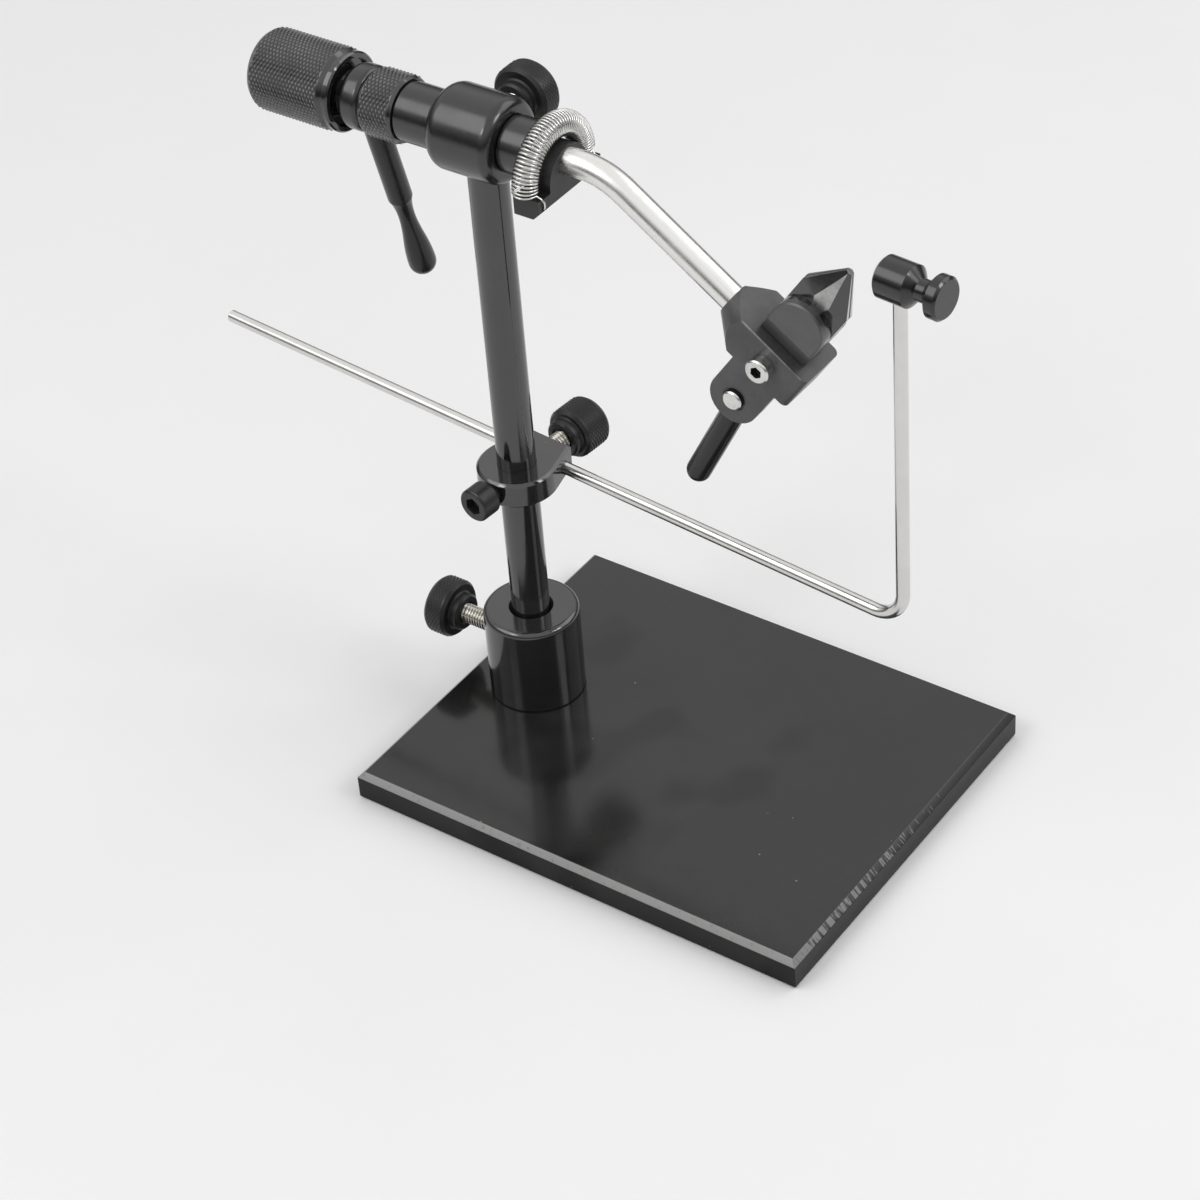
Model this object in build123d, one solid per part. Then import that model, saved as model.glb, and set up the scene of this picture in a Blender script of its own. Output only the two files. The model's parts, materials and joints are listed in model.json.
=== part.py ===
from build123d import *
from math import atan2, cos, pi, radians, sin, sqrt
import os

# Fly tying vise on a pedestal base, in millimetres.
# The origin lies on the stem axis at the underside of the base plate. X runs along the rotary axis
# towards the jaws, Y points away from the side that carries the jaw screw, and Z points up.

# Fits and clearances
running_fit = 0.05
seat_fit = 0.02
free_gap = 0.3
overrun = 1.0

# Base plate
plate_length = 127.0
plate_width = 102.0
plate_thickness = 8.0
plate_bevel = 1.5
plate_foot_chamfer = 0.5
stem_inset = 18.6

# Base socket that holds the stem
socket_diameter = 24.0
socket_height = 25.0
socket_rim_radius = 1.6
socket_foot_chamfer = 0.4
socket_bore_depth = 16.0
socket_mouth_chamfer = 0.8
socket_screw_height = 13.8

# Countersunk screw that holds the socket on the plate
fixing_diameter = 6.0
fixing_head_diameter = 12.0
fixing_length = 14.0
fixing_recess = 0.4
fixing_key_width = 4.0
fixing_key_depth = 2.2

# Stem
stem_diameter = 9.5
stem_end_chamfer = 0.6

# Head housing and the rotary axis
axis_height = 168.2
housing_diameter = 20.4
housing_rear = -10.4
housing_front = 8.0
housing_rear_radius = 3.4
housing_front_radius = 2.6
housing_mouth_chamfer = 0.4
drag_screw_x = -2.0

# Bushes in the housing
bush_diameter = 11.6
bush_length = 5.0

# Rotary shaft
journal_diameter = 10.0
shaft_flange_diameter = 13.5
shaft_flange_front = 15.7
shaft_flange_chamfer = 0.5
shaft_tail_diameter = 9.0
shaft_tail_end = -53.0

# Pieces stacked on the rear of the shaft
sleeve_diameter = 14.1
sleeve_rear = -20.7
sleeve_chamfer = 0.4
ring_diameter = 16.4
ring_rear = -30.3
ring_chamfer = 0.7
hub_diameter = 15.6
hub_rear = -37.4
hub_front_radius = 1.6
hub_rear_radius = 2.4
hub_neck_diameter = 11.6
hub_neck_length = 0.9
knob_diameter = 19.8
knob_rear = -61.0
knob_chamfer = 1.0
knob_groove_diameter = 17.8
knob_groove_width = 0.8
knob_groove_inset = 2.6

# Crank lever in the hub
crank_tilt = 14.0
crank_diameter = 6.0
crank_straight_length = 24.5
crank_waist_diameter = 4.2
crank_waist_reach = 40.5
crank_bulb_diameter = 6.8
crank_reach = 56.6
crank_spigot_diameter = 4.0
crank_spigot_depth = 2.2

# Spine rod between the shaft and the jaw holder
spine_diameter = 6.5
spine_bore_depth = 17.0
spine_bend_radius = 20.0

# Material spring and the block that it stands on
spring_x = 18.8
spring_arch_radius = 10.7
spring_drop = 3.7
spring_leg = 0.9
spring_coil_diameter = 6.2
clip_rear_reach = 2.8
clip_width = 7.0
clip_bar_reach = 11.8
clip_bar_height = 4.7
clip_bar_chamfer = 1.8
clip_post_gap = 0.35
hook_hole_diameter = 1.3
hook_hole_inset = 1.7
hook_hole_rise = 2.3

# Jaw head, measured from the lever pin: p runs along the spine end, j along the jaws
pin_x = 68.65
pin_drop = 43.65
jaw_rise_angle = 55.2
holder_thickness = 13.7
holder_bar_low = 9.4
holder_bar_high = 19.5
holder_bar_half = 9.6
holder_socket_reach = 15.2
holder_socket_diameter = 7.6
holder_socket_slope = 37.0
holder_end_radius = 1.6
holder_tail_width = 12.6
fork_slot_width = 6.5
jaw_slot_half = 4.7
spine_stop = 5.6
spine_lift = 0.9

# Lever pin, jaw screw and cam lever
pin_diameter = 4.9
pin_sink = 0.35
pin_mouth_diameter = 5.8
jaw_screw_diameter = 4.0
jaw_screw_height = 14.2
jaw_screw_head_diameter = 6.0
jaw_screw_head_height = 3.1
jaw_screw_key_width = 2.5
jaw_screw_key_depth = 1.6
jaw_screw_edge = 0.4
lever_lean = 7.4
lever_diameter = 5.9
lever_reach = 36.0
lever_hub_diameter = 10.0
cam_nose_reach = 7.6
cam_nose_width = 1.6
cam_nose_half_angle = 20.0

# Jaws
jaw_width = 13.0
jaw_split = 0.1
jaw_tail_half = 4.5
jaw_tail_thickness = 2.85
jaw_tail_end = 5.6
jaw_tail_relief = 0.5
jaw_relief_high = 17.0
jaw_cam_relief = 1.15
jaw_cam_relief_high = 8.6
jaw_shank_thickness = 3.8
jaw_boss_low = 24.2
jaw_boss_thickness = 5.5
jaw_boss_apex = 34.4
jaw_shoulder = 36.1
jaw_tip = 46.4
jaw_tip_half = 0.8
jaw_tip_edge = 0.45
jaw_tip_ridge = 0.85
jaw_edge_thickness = 1.1
jaw_ridge_thickness = 3.0
jaw_ridge_low_thickness = 3.5
jaw_screw_play = 0.3
jaw_boss_edge = 0.35

# Collar that carries the thread cradle
collar_height = 6.9
collar_drop = 97.8
collar_radius = 9.8
collar_reach = 12.6
collar_end_width = 12.4
collar_edge = 0.7
cradle_yaw = -5.2
cradle_rod_offset = 8.2
lock_screw_diameter = 5.0
lock_screw_head_diameter = 8.5
lock_screw_head_length = 5.0
lock_screw_shown = 1.5
lock_screw_key_width = 4.0
lock_screw_key_depth = 2.5
lock_screw_edge = 0.5

# Cradle rod and bobbin rest
rod_diameter = 3.2
rod_rear = -105.2
rod_jaw_gap = 12.77
rod_bend_radius = 8.0
rest_drop = 2.9
rest_diameter = 9.7
rest_flange_diameter = 10.0
rest_neck_diameter = 5.2
rest_rear = 4.2
rest_body_front = 3.4
rest_cone_length = 1.9
rest_neck_length = 2.0
rest_flare_length = 2.0
rest_flange_length = 2.6
rest_edge = 0.6
rest_bore_depth = 3.4

# Thumbscrews, all three alike apart from the length of the stud that shows
stud_diameter = 5.0
stud_tip_gap = 0.15
stud_tip_chamfer = 0.5
thumb_diameter = 15.2
thumb_length = 6.2
thumb_chamfer = 0.8
thumb_shoulder_diameter = 9.6
thumb_shoulder_length = 2.4
thumb_shoulder_chamfer = 0.4
thumb_bore_depth = 5.4
socket_stud_shown = 8.9
cradle_stud_shown = 4.7
drag_stud_shown = 3.4
drag_pad_diameter = 4.4
drag_pad_length = 2.2

# Places that follow from the sizes above
plate_top = plate_thickness
stem_radius = stem_diameter / 2
socket_radius = socket_diameter / 2
socket_top = plate_top + socket_height
stem_low = socket_top - socket_bore_depth + free_gap
housing_radius = housing_diameter / 2
journal_radius = journal_diameter / 2
bush_radius = bush_diameter / 2
housing_bore_radius = bush_radius + seat_fit
stem_high = axis_height - housing_bore_radius - free_gap
rotary_axis = Plane(origin=(0, 0, axis_height), x_dir=(0, 0, 1), z_dir=(1, 0, 0))
jaw_rise = radians(jaw_rise_angle)
pin_height = axis_height - pin_drop
jaw_frame = Plane(
    origin=(pin_x, 0, pin_height),
    x_dir=(sin(jaw_rise), 0, -cos(jaw_rise)),
    z_dir=(0, -1, 0),
)
spine_height = (holder_bar_low + holder_bar_high) / 2 + spine_lift
clip_bar_top = axis_height - spring_drop - spring_leg
collar_low = axis_height - collar_drop
collar_middle = collar_low + collar_height / 2
rest_height = axis_height - rest_drop
rod_corner = pin_x + jaw_tip * cos(jaw_rise) + rod_jaw_gap
cradle_frame = Location((0, 0, collar_middle), (0, 0, cradle_yaw))
jaw_near_face = holder_thickness / 2


def turned(points, frame, holes=()):
    """Solid of revolution about the frame's Z axis from (radius, along) points, less any holes."""
    with BuildPart() as piece:
        with BuildSketch(Plane.XZ):
            with BuildLine():
                Polyline(*points, close=True)
            make_face()
        revolve(axis=Axis.Z)
    solid = piece.part
    for hole in holes:
        solid = solid - hole
    return frame.location * solid


def rod_solid(radius, length, frame):
    """Plain cylinder that starts at the frame's origin and runs along its Z axis."""
    return frame.location * Cylinder(radius, length, align=(Align.CENTER, Align.CENTER, Align.MIN))


def hexagon_recess(width, depth, frame):
    """Hexagon key recess that opens at the frame's origin and runs down its -Z axis."""
    sketch = RegularPolygon(width / 2, 6, major_radius=False)
    return frame.location * extrude(sketch, amount=-depth)


def chamfered_cylinder(radius, low, high, low_edge, high_edge):
    """Outline of a plain cylinder with a chamfer at each end, as (radius, along) points."""
    return [
        (0, low),
        (radius - low_edge, low),
        (radius, low + low_edge),
        (radius, high - high_edge),
        (radius - high_edge, high),
        (0, high),
    ]


# Base plate: flat steel with bevelled top edges and a countersunk hole under the socket
def make_base_plate():
    centre_x = plate_length / 2 - stem_inset
    plate = Pos(centre_x, 0, 0) * Box(
        plate_length,
        plate_width,
        plate_thickness,
        align=(Align.CENTER, Align.CENTER, Align.MIN),
    )
    plate = chamfer(plate.faces().sort_by(Axis.Z)[-1].edges(), plate_bevel)
    plate = chamfer(plate.faces().sort_by(Axis.Z)[0].edges(), plate_foot_chamfer)
    hole_radius = fixing_diameter / 2 + seat_fit
    head_radius = fixing_head_diameter / 2 + seat_fit
    head_rise = head_radius - hole_radius
    sink = turned(
        [
            (0, -overrun),
            (head_radius, -overrun),
            (head_radius, fixing_recess),
            (hole_radius, fixing_recess + head_rise),
            (hole_radius, plate_thickness + overrun),
            (0, plate_thickness + overrun),
        ],
        Plane.XY,
    )
    return plate - sink


# Base socket: turned boss with a blind bore for the stem and a cross bore for its thumbscrew
def make_base_socket():
    boss = Cylinder(socket_radius, socket_height, align=(Align.CENTER, Align.CENTER, Align.MIN))
    boss = fillet(boss.edges().group_by(Axis.Z)[-1], socket_rim_radius)
    boss = chamfer(boss.edges().group_by(Axis.Z)[0], socket_foot_chamfer)
    boss = Pos(0, 0, plate_top) * boss
    bore_radius = stem_radius + running_fit
    bore_low = socket_top - socket_bore_depth
    bore = turned(
        [
            (0, bore_low),
            (bore_radius, bore_low),
            (bore_radius, socket_top - socket_mouth_chamfer),
            (bore_radius + socket_mouth_chamfer, socket_top),
            (bore_radius + socket_mouth_chamfer, socket_top + overrun),
            (0, socket_top + overrun),
        ],
        Plane.XY,
    )
    thread_top = fixing_recess + fixing_length + free_gap
    thread = rod_solid(
        fixing_diameter / 2 + seat_fit,
        thread_top - plate_top + overrun,
        Plane((0, 0, plate_top - overrun)),
    )
    cross_frame = Plane(origin=(0, 0, plate_top + socket_screw_height), z_dir=(-1, 0, 0))
    cross = rod_solid(stud_diameter / 2 + running_fit, socket_radius + overrun, cross_frame)
    return boss - bore - thread - cross


# Fixing screw: countersunk, from below
def make_base_fixing_screw():
    shank = fixing_diameter / 2
    head = fixing_head_diameter / 2
    top = fixing_recess + fixing_length
    points = [
        (0, fixing_recess),
        (head, fixing_recess),
        (shank, fixing_recess + head - shank),
        (shank, top - stud_tip_chamfer),
        (shank - stud_tip_chamfer, top),
        (0, top),
    ]
    key_frame = Plane(origin=(0, 0, fixing_recess), z_dir=(0, 0, -1))
    key = hexagon_recess(fixing_key_width, fixing_key_depth, key_frame)
    return turned(points, Plane.XY, [key])


# Stem: plain rod with chamfered ends
def make_stem():
    points = chamfered_cylinder(stem_radius, stem_low, stem_high, stem_end_chamfer, stem_end_chamfer)
    return turned(points, Plane.XY)


# Head housing: turned barrel across the stem, with rounded shoulders and a through bore
def make_head_housing():
    length = housing_front - housing_rear
    barrel = Cylinder(housing_radius, length, align=(Align.CENTER, Align.CENTER, Align.MIN))
    barrel = fillet(barrel.edges().group_by(Axis.Z)[-1], housing_front_radius)
    barrel = fillet(barrel.edges().group_by(Axis.Z)[0], housing_rear_radius)
    barrel = rotary_axis.location * Pos(0, 0, housing_rear) * barrel
    mouth = housing_bore_radius + housing_mouth_chamfer
    bore = turned(
        [
            (0, housing_rear - overrun),
            (mouth, housing_rear - overrun),
            (mouth, housing_rear),
            (housing_bore_radius, housing_rear + housing_mouth_chamfer),
            (housing_bore_radius, housing_front - housing_mouth_chamfer),
            (mouth, housing_front),
            (mouth, housing_front + overrun),
            (0, housing_front + overrun),
        ],
        rotary_axis,
    )
    seat_low = axis_height - housing_radius - overrun
    stem_seat = rod_solid(stem_radius + seat_fit, stem_high - seat_low, Plane((0, 0, seat_low)))
    cross_frame = Plane(origin=(drag_screw_x, 0, axis_height), z_dir=(0, 1, 0))
    cross = rod_solid(stud_diameter / 2 + running_fit, housing_radius + overrun, cross_frame)
    return barrel - bore - stem_seat - cross


# Bushes: plain rings, one at each end of the housing bore
def make_bush(low):
    inner = journal_radius + running_fit
    high = low + bush_length
    points = [(inner, low), (bush_radius, low), (bush_radius, high), (inner, high)]
    return turned(points, rotary_axis)


# Rotary shaft: front flange, journal in the bushes and a rear tail for the stacked pieces
def make_rotary_shaft():
    flange = shaft_flange_diameter / 2
    tail = shaft_tail_diameter / 2
    flange_rear = housing_front + free_gap
    tail_front = housing_rear - free_gap
    points = [
        (0, shaft_tail_end),
        (tail - stem_end_chamfer, shaft_tail_end),
        (tail, shaft_tail_end + stem_end_chamfer),
        (tail, tail_front),
        (journal_radius, tail_front),
        (journal_radius, flange_rear),
        (flange, flange_rear),
        (flange, shaft_flange_front - shaft_flange_chamfer),
        (flange - shaft_flange_chamfer, shaft_flange_front),
        (0, shaft_flange_front),
    ]
    bore_frame = Plane((0, 0, shaft_flange_front - spine_bore_depth))
    bore = rod_solid(spine_diameter / 2 + seat_fit, spine_bore_depth + overrun, bore_frame)
    return turned(points, rotary_axis, [bore])


# Rear sleeve: plain spacer between the housing and the knurled ring
def make_rear_sleeve():
    inner = shaft_tail_diameter / 2 + seat_fit
    outer = sleeve_diameter / 2
    front = housing_rear - free_gap
    points = [
        (inner, sleeve_rear),
        (outer - sleeve_chamfer, sleeve_rear),
        (outer, sleeve_rear + sleeve_chamfer),
        (outer, front - sleeve_chamfer),
        (outer - sleeve_chamfer, front),
        (inner, front),
    ]
    return turned(points, rotary_axis)


# Knurled ring: chamfered at both ends
def make_lock_ring():
    inner = shaft_tail_diameter / 2 + seat_fit
    outer = ring_diameter / 2
    points = [
        (inner, ring_rear),
        (outer - ring_chamfer, ring_rear),
        (outer, ring_rear + ring_chamfer),
        (outer, sleeve_rear - ring_chamfer),
        (outer - ring_chamfer, sleeve_rear),
        (inner, sleeve_rear),
    ]
    return turned(points, rotary_axis)


# Crank hub: rounded ring with a neck towards the rear knob and a seat for the crank lever
def make_crank_hub():
    inner = shaft_tail_diameter / 2 + seat_fit
    body_rear = hub_rear + hub_neck_length
    body = Cylinder(hub_diameter / 2, ring_rear - body_rear, align=(Align.CENTER, Align.CENTER, Align.MIN))
    body = fillet(body.edges().group_by(Axis.Z)[-1], hub_front_radius)
    body = fillet(body.edges().group_by(Axis.Z)[0], hub_rear_radius)
    body = Pos(0, 0, body_rear) * body
    body = body + rod_solid(hub_neck_diameter / 2, hub_neck_length + hub_rear_radius, Plane((0, 0, hub_rear)))
    body = body - rod_solid(inner, ring_rear - hub_rear + overrun * 2, Plane((0, 0, hub_rear - overrun)))
    seat_depth = crank_seat_reach() - crank_spigot_depth
    seat = rod_solid(crank_spigot_diameter / 2 + seat_fit, hub_diameter, crank_frame(seat_depth))
    flat = rod_solid(crank_diameter / 2 + seat_fit, hub_diameter, crank_frame(crank_seat_reach()))
    return rotary_axis.location * body - seat - flat


def crank_seat_reach():
    """Distance from the rotary axis to the spot-faced seat of the crank lever."""
    return sqrt((hub_diameter / 2) ** 2 - (crank_diameter / 2) ** 2)


def crank_frame(reach):
    """Frame on the crank axis at a distance from the rotary axis, with Z pointing out."""
    tilt = radians(crank_tilt)
    out = Vector(0, sin(tilt), -cos(tilt))
    middle = (hub_rear + hub_neck_length + ring_rear) / 2
    return Plane(origin=Vector(middle, 0, axis_height) + out * reach, x_dir=(1, 0, 0), z_dir=out)


# Rear knob: grip turned with chamfers and a narrow groove, screwed on the tail of the shaft
def make_rear_knob():
    radius = knob_diameter / 2
    groove = knob_groove_diameter / 2
    groove_front = hub_rear - knob_groove_inset
    groove_rear = groove_front - knob_groove_width
    points = [
        (0, knob_rear),
        (radius - knob_chamfer, knob_rear),
        (radius, knob_rear + knob_chamfer),
        (radius, groove_rear),
        (groove, groove_rear),
        (groove, groove_front),
        (radius, groove_front),
        (radius, hub_rear - knob_chamfer),
        (radius - knob_chamfer, hub_rear),
        (0, hub_rear),
    ]
    bore_low = shaft_tail_end - free_gap
    bore = rod_solid(
        shaft_tail_diameter / 2 + seat_fit,
        hub_rear - bore_low + overrun,
        Plane((0, 0, bore_low)),
    )
    return turned(points, rotary_axis, [bore])


# Crank lever: turned handle with a straight shank, a waist and a rounded bulb
def make_crank_lever():
    shank = crank_diameter / 2
    waist = crank_waist_diameter / 2
    bulb = crank_bulb_diameter / 2
    spigot = crank_spigot_diameter / 2
    seat = crank_seat_reach()
    straight_end = seat + crank_straight_length
    bulb_centre = crank_reach - bulb
    with BuildPart() as lever:
        with BuildSketch(Plane.XZ):
            with BuildLine():
                shank_line = Polyline(
                    (0, seat - crank_spigot_depth + free_gap),
                    (spigot, seat - crank_spigot_depth + free_gap),
                    (spigot, seat),
                    (shank, seat),
                    (shank, straight_end),
                )
                flare = Spline(
                    shank_line @ 1,
                    (waist, crank_waist_reach),
                    (bulb, bulb_centre),
                    tangents=((-sin(pi / 8), cos(pi / 8)), (0, 1)),
                )
                end_cap = RadiusArc(flare @ 1, (0, crank_reach), -bulb)
                Line(end_cap @ 1, shank_line @ 0)
            make_face()
        revolve(axis=Axis.Z)
    return crank_frame(0).location * lever.part


# Spine rod: bright rod that leaves the shaft, bends down and ends in the jaw holder
def make_spine_rod():
    start = Vector(shaft_flange_front - spine_bore_depth + free_gap, 0, axis_height)
    end = jaw_frame.from_local_coords(Vector(-spine_stop, spine_height, 0))
    heading = Vector(sin(jaw_rise), 0, -cos(jaw_rise))
    corner_x = end.X - heading.X * (axis_height - end.Z) / -heading.Z
    corner = Vector(corner_x, 0, axis_height)
    with BuildPart() as rod:
        with BuildLine():
            FilletPolyline(start, corner, end, radius=spine_bend_radius)
        with BuildSketch(Plane(origin=start, z_dir=(1, 0, 0))):
            Circle(spine_diameter / 2)
        sweep()
    return rod.part


# Clip block: bar under the spring's feet with a round-topped post inside the arch, on the spine rod
def make_clip_block():
    bar_high = clip_bar_top
    bar_low = bar_high - clip_bar_height
    rear = spring_x - clip_rear_reach
    arch_height = axis_height - spring_drop
    post = spring_arch_radius - spring_coil_diameter / 2 - clip_post_gap
    with BuildPart() as block:
        with BuildSketch(Plane.XZ):
            with BuildLine():
                Polyline(
                    (rear, bar_low),
                    (rear + clip_width - clip_bar_chamfer, bar_low),
                    (rear + clip_width, bar_low + clip_bar_chamfer),
                    (rear + clip_width, bar_high),
                    (rear, bar_high),
                    close=True,
                )
            make_face()
        extrude(amount=clip_bar_reach, both=True)
        with BuildSketch(Plane.YZ.offset(rear)):
            with BuildLine():
                near_side = Line((-post, bar_high), (-post, arch_height))
                crown = ThreePointArc(near_side @ 1, (0, arch_height + post), (post, arch_height))
                Polyline(crown @ 1, (post, bar_high), (-post, bar_high))
            make_face()
        extrude(amount=clip_width)
    bore = rod_solid(spine_diameter / 2 + seat_fit, clip_width * 2, Plane((0, 0, rear - overrun)))
    solid = block.part - rotary_axis.location * bore
    for side in (-1, 1):
        hole_y = side * (clip_bar_reach - hook_hole_inset)
        hole_frame = Plane(origin=(rear - overrun, hole_y, bar_low + hook_hole_rise), z_dir=(1, 0, 0))
        solid = solid - rod_solid(hook_hole_diameter / 2, clip_width + overrun * 2, hole_frame)
    return solid


# Material spring: close-wound coil bent over the spine rod in an arch, its feet on the bar
def make_material_spring():
    arch_height = axis_height - spring_drop
    near_foot = Vector(spring_x, -spring_arch_radius, clip_bar_top)
    far_foot = Vector(spring_x, spring_arch_radius, clip_bar_top)
    with BuildPart() as coil:
        with BuildLine():
            rise = Line(near_foot, near_foot + Vector(0, 0, spring_leg))
            crown = Vector(spring_x, 0, arch_height + spring_arch_radius)
            arch = ThreePointArc(rise @ 1, crown, far_foot + Vector(0, 0, spring_leg))
            Line(arch @ 1, far_foot)
        with BuildSketch(Plane(near_foot)):
            Circle(spring_coil_diameter / 2)
        sweep()
    return coil.part


# Jaw holder: T-shaped block with a coned rod socket, a slot for the jaws and a fork for the lever
def make_jaw_holder():
    half = holder_bar_half
    tail = holder_tail_width / 2
    with BuildPart() as block:
        with BuildSketch():
            with BuildLine():
                outline = Polyline(
                    (tail, 0),
                    (tail, holder_bar_low),
                    (half, holder_bar_low),
                    (half, holder_bar_high),
                    (-holder_socket_reach, holder_bar_high),
                    (-holder_socket_reach, holder_bar_low),
                    (-tail, holder_bar_low),
                    (-tail, 0),
                )
                RadiusArc(outline @ 1, outline @ 0, -tail)
            make_face()
        extrude(amount=jaw_near_face, both=True)
    solid = block.part
    cone_run = holder_socket_reach - overrun
    cone_base = holder_socket_diameter / 2
    wide = cone_base + cone_run * sin(radians(holder_socket_slope)) / cos(radians(holder_socket_slope))
    socket_axis = Plane(
        origin=(-holder_socket_reach, spine_height, 0), x_dir=(0, 0, 1), z_dir=(1, 0, 0)
    )
    far_end = holder_socket_reach + half + overrun
    envelope = turned(
        [
            (0, 0),
            (cone_base, 0),
            (wide, cone_run),
            (wide + holder_tail_width, cone_run),
            (wide + holder_tail_width, far_end),
            (0, far_end),
        ],
        socket_axis,
    )
    tail_keep = Box(
        holder_tail_width + overrun,
        holder_bar_low * 4,
        holder_thickness + overrun,
        align=(Align.CENTER, Align.CENTER, Align.CENTER),
    )
    solid = solid & (envelope + tail_keep)
    solid = solid.solid() if solid.solids() else solid
    side_edges = solid.edges().filter_by(Axis.Y)
    corner_edges = [edge for edge in side_edges if edge.center().X > half - overrun / 4]
    solid = fillet(corner_edges, holder_end_radius)
    rod_bore = rod_solid(
        spine_diameter / 2 + seat_fit,
        holder_socket_reach - spine_stop + free_gap + overrun,
        Plane(origin=(-holder_socket_reach - overrun, spine_height, 0), z_dir=(1, 0, 0)),
    )
    slot_low = -holder_tail_width
    jaw_slot = Pos(0, (holder_bar_low + holder_bar_high) / 2, 0) * Box(
        jaw_slot_half * 2, holder_bar_high - holder_bar_low + overrun * 2, fork_slot_width
    )
    fork_slot = Pos(0, (holder_bar_low + slot_low) / 2, 0) * Box(
        holder_tail_width + overrun * 2, holder_bar_low - slot_low, fork_slot_width
    )
    pin_bore = rod_solid(
        pin_diameter / 2 + seat_fit, holder_thickness + overrun * 2, Plane((0, 0, -jaw_near_face - overrun))
    )
    mouth = rod_solid(pin_mouth_diameter / 2, overrun + pin_sink, Plane((0, 0, jaw_near_face - pin_sink)))
    far_mouth = rod_solid(pin_mouth_diameter / 2, overrun + pin_sink, Plane((0, 0, -jaw_near_face - overrun)))
    screw_bore = rod_solid(
        jaw_screw_diameter / 2 + seat_fit,
        holder_thickness + overrun * 2,
        Plane((0, jaw_screw_height, -jaw_near_face - overrun)),
    )
    for cut in (rod_bore, jaw_slot, fork_slot, pin_bore, mouth, far_mouth, screw_bore):
        solid = solid - cut
    return jaw_frame.location * solid


# Jaw screw: socket head screw across the holder, the fulcrum of both jaws
def make_jaw_screw():
    shank = jaw_screw_diameter / 2
    head = jaw_screw_head_diameter / 2
    tip = -jaw_near_face + free_gap
    head_top = jaw_near_face + jaw_screw_head_height
    points = [
        (0, tip),
        (shank - jaw_screw_edge, tip),
        (shank, tip + jaw_screw_edge),
        (shank, jaw_near_face),
        (head, jaw_near_face),
        (head, head_top - jaw_screw_edge),
        (head - jaw_screw_edge, head_top),
        (0, head_top),
    ]
    key = hexagon_recess(jaw_screw_key_width, jaw_screw_key_depth, Plane((0, 0, head_top)))
    screw = turned(points, Plane.XY, [key])
    return jaw_frame.location * Pos(0, jaw_screw_height, 0) * screw


# Lever pin: plain bright pin just below both faces of the fork
def make_lever_pin():
    half = jaw_near_face - pin_sink / 2
    points = chamfered_cylinder(pin_diameter / 2, -half, half, jaw_screw_edge, jaw_screw_edge)
    return jaw_frame.location * turned(points, Plane.XY)


# Cam lever: hub in the fork with a nose between the jaw tails, and a round handle
def make_cam_lever():
    hub_width = fork_slot_width - free_gap * 2
    hub = Cylinder(lever_hub_diameter / 2, hub_width)
    nose_low = radians(90 - cam_nose_half_angle)
    nose_high = radians(90 + cam_nose_half_angle)
    with BuildPart() as nose:
        with BuildSketch():
            with BuildLine():
                first = Line((0, 0), (cam_nose_reach * cos(nose_low), cam_nose_reach * sin(nose_low)))
                last = Line((cam_nose_reach * cos(nose_high), cam_nose_reach * sin(nose_high)), (0, 0))
                RadiusArc(first @ 1, last @ 0, -cam_nose_reach)
            make_face()
        extrude(amount=cam_nose_width / 2, both=True)
    lean = radians(lever_lean)
    out = Vector(sin(lean), -cos(lean), 0)
    radius = lever_diameter / 2
    handle_frame = Plane(origin=(0, 0, 0), x_dir=(0, 0, 1), z_dir=out)
    straight = lever_reach - radius
    handle = handle_frame.location * (
        Cylinder(radius, straight, align=(Align.CENTER, Align.CENTER, Align.MIN))
        + Pos(0, 0, straight) * Sphere(radius)
    )
    slab = Box(lever_reach * 3, lever_reach * 3, hub_width)
    bore = Cylinder(pin_diameter / 2 + running_fit, holder_thickness)
    lever = hub + (handle & slab) + nose.part - bore
    return jaw_frame.location * lever


# Jaws: two halves split on the middle plane, each with a tail, a shank, a raised boss and a point
def make_jaw(side):
    half = jaw_width / 2
    inner = jaw_split / 2
    shank_low = holder_bar_high + free_gap
    with BuildPart() as tail:
        with BuildSketch(Plane.YZ):
            with BuildLine():
                Polyline(
                    (shank_low + overrun, inner),
                    (jaw_relief_high, inner),
                    (jaw_relief_high - jaw_tail_relief, jaw_tail_relief),
                    (jaw_cam_relief_high, jaw_tail_relief),
                    (jaw_cam_relief_high - jaw_cam_relief + jaw_tail_relief, jaw_cam_relief),
                    (jaw_tail_end, jaw_cam_relief),
                    (jaw_tail_end, jaw_tail_thickness),
                    (shank_low + overrun, jaw_tail_thickness),
                    close=True,
                )
            make_face()
        extrude(amount=jaw_tail_half, both=True)
    shank_high = jaw_boss_apex - half
    shank = Pos(0, (shank_low + shank_high) / 2, (inner + jaw_shank_thickness) / 2) * Box(
        jaw_width, shank_high - shank_low, jaw_shank_thickness - inner
    )
    with BuildPart() as boss:
        with BuildSketch():
            with BuildLine():
                base = Polyline(
                    (-half, shank_high),
                    (-half, jaw_boss_low),
                    (half, jaw_boss_low),
                    (half, shank_high),
                )
                RadiusArc(base @ 1, base @ 0, -half)
            make_face()
        extrude(amount=jaw_boss_thickness)
        chamfer(boss.faces().sort_by(Axis.Z)[-1].edges(), jaw_boss_edge)
    boss_part = boss.part - Pos(0, jaw_boss_low, 0) * Box(jaw_width * 2, jaw_tip, inner * 2)
    nose = loft(
        [
            nose_section(jaw_boss_low, half, jaw_edge_thickness, jaw_ridge_low_thickness),
            nose_section(jaw_shoulder, half, jaw_edge_thickness, jaw_ridge_thickness),
            nose_section(jaw_tip, jaw_tip_half, jaw_tip_edge, jaw_tip_ridge),
        ],
        ruled=True,
    )
    solid = tail.part + shank + boss_part + nose
    hole = Pos(0, jaw_screw_height, 0) * Cylinder(
        jaw_screw_diameter / 2 + jaw_screw_play, holder_thickness
    )
    solid = solid - hole
    if side < 0:
        solid = mirror(solid, about=Plane.XY)
    return jaw_frame.location * solid


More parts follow.
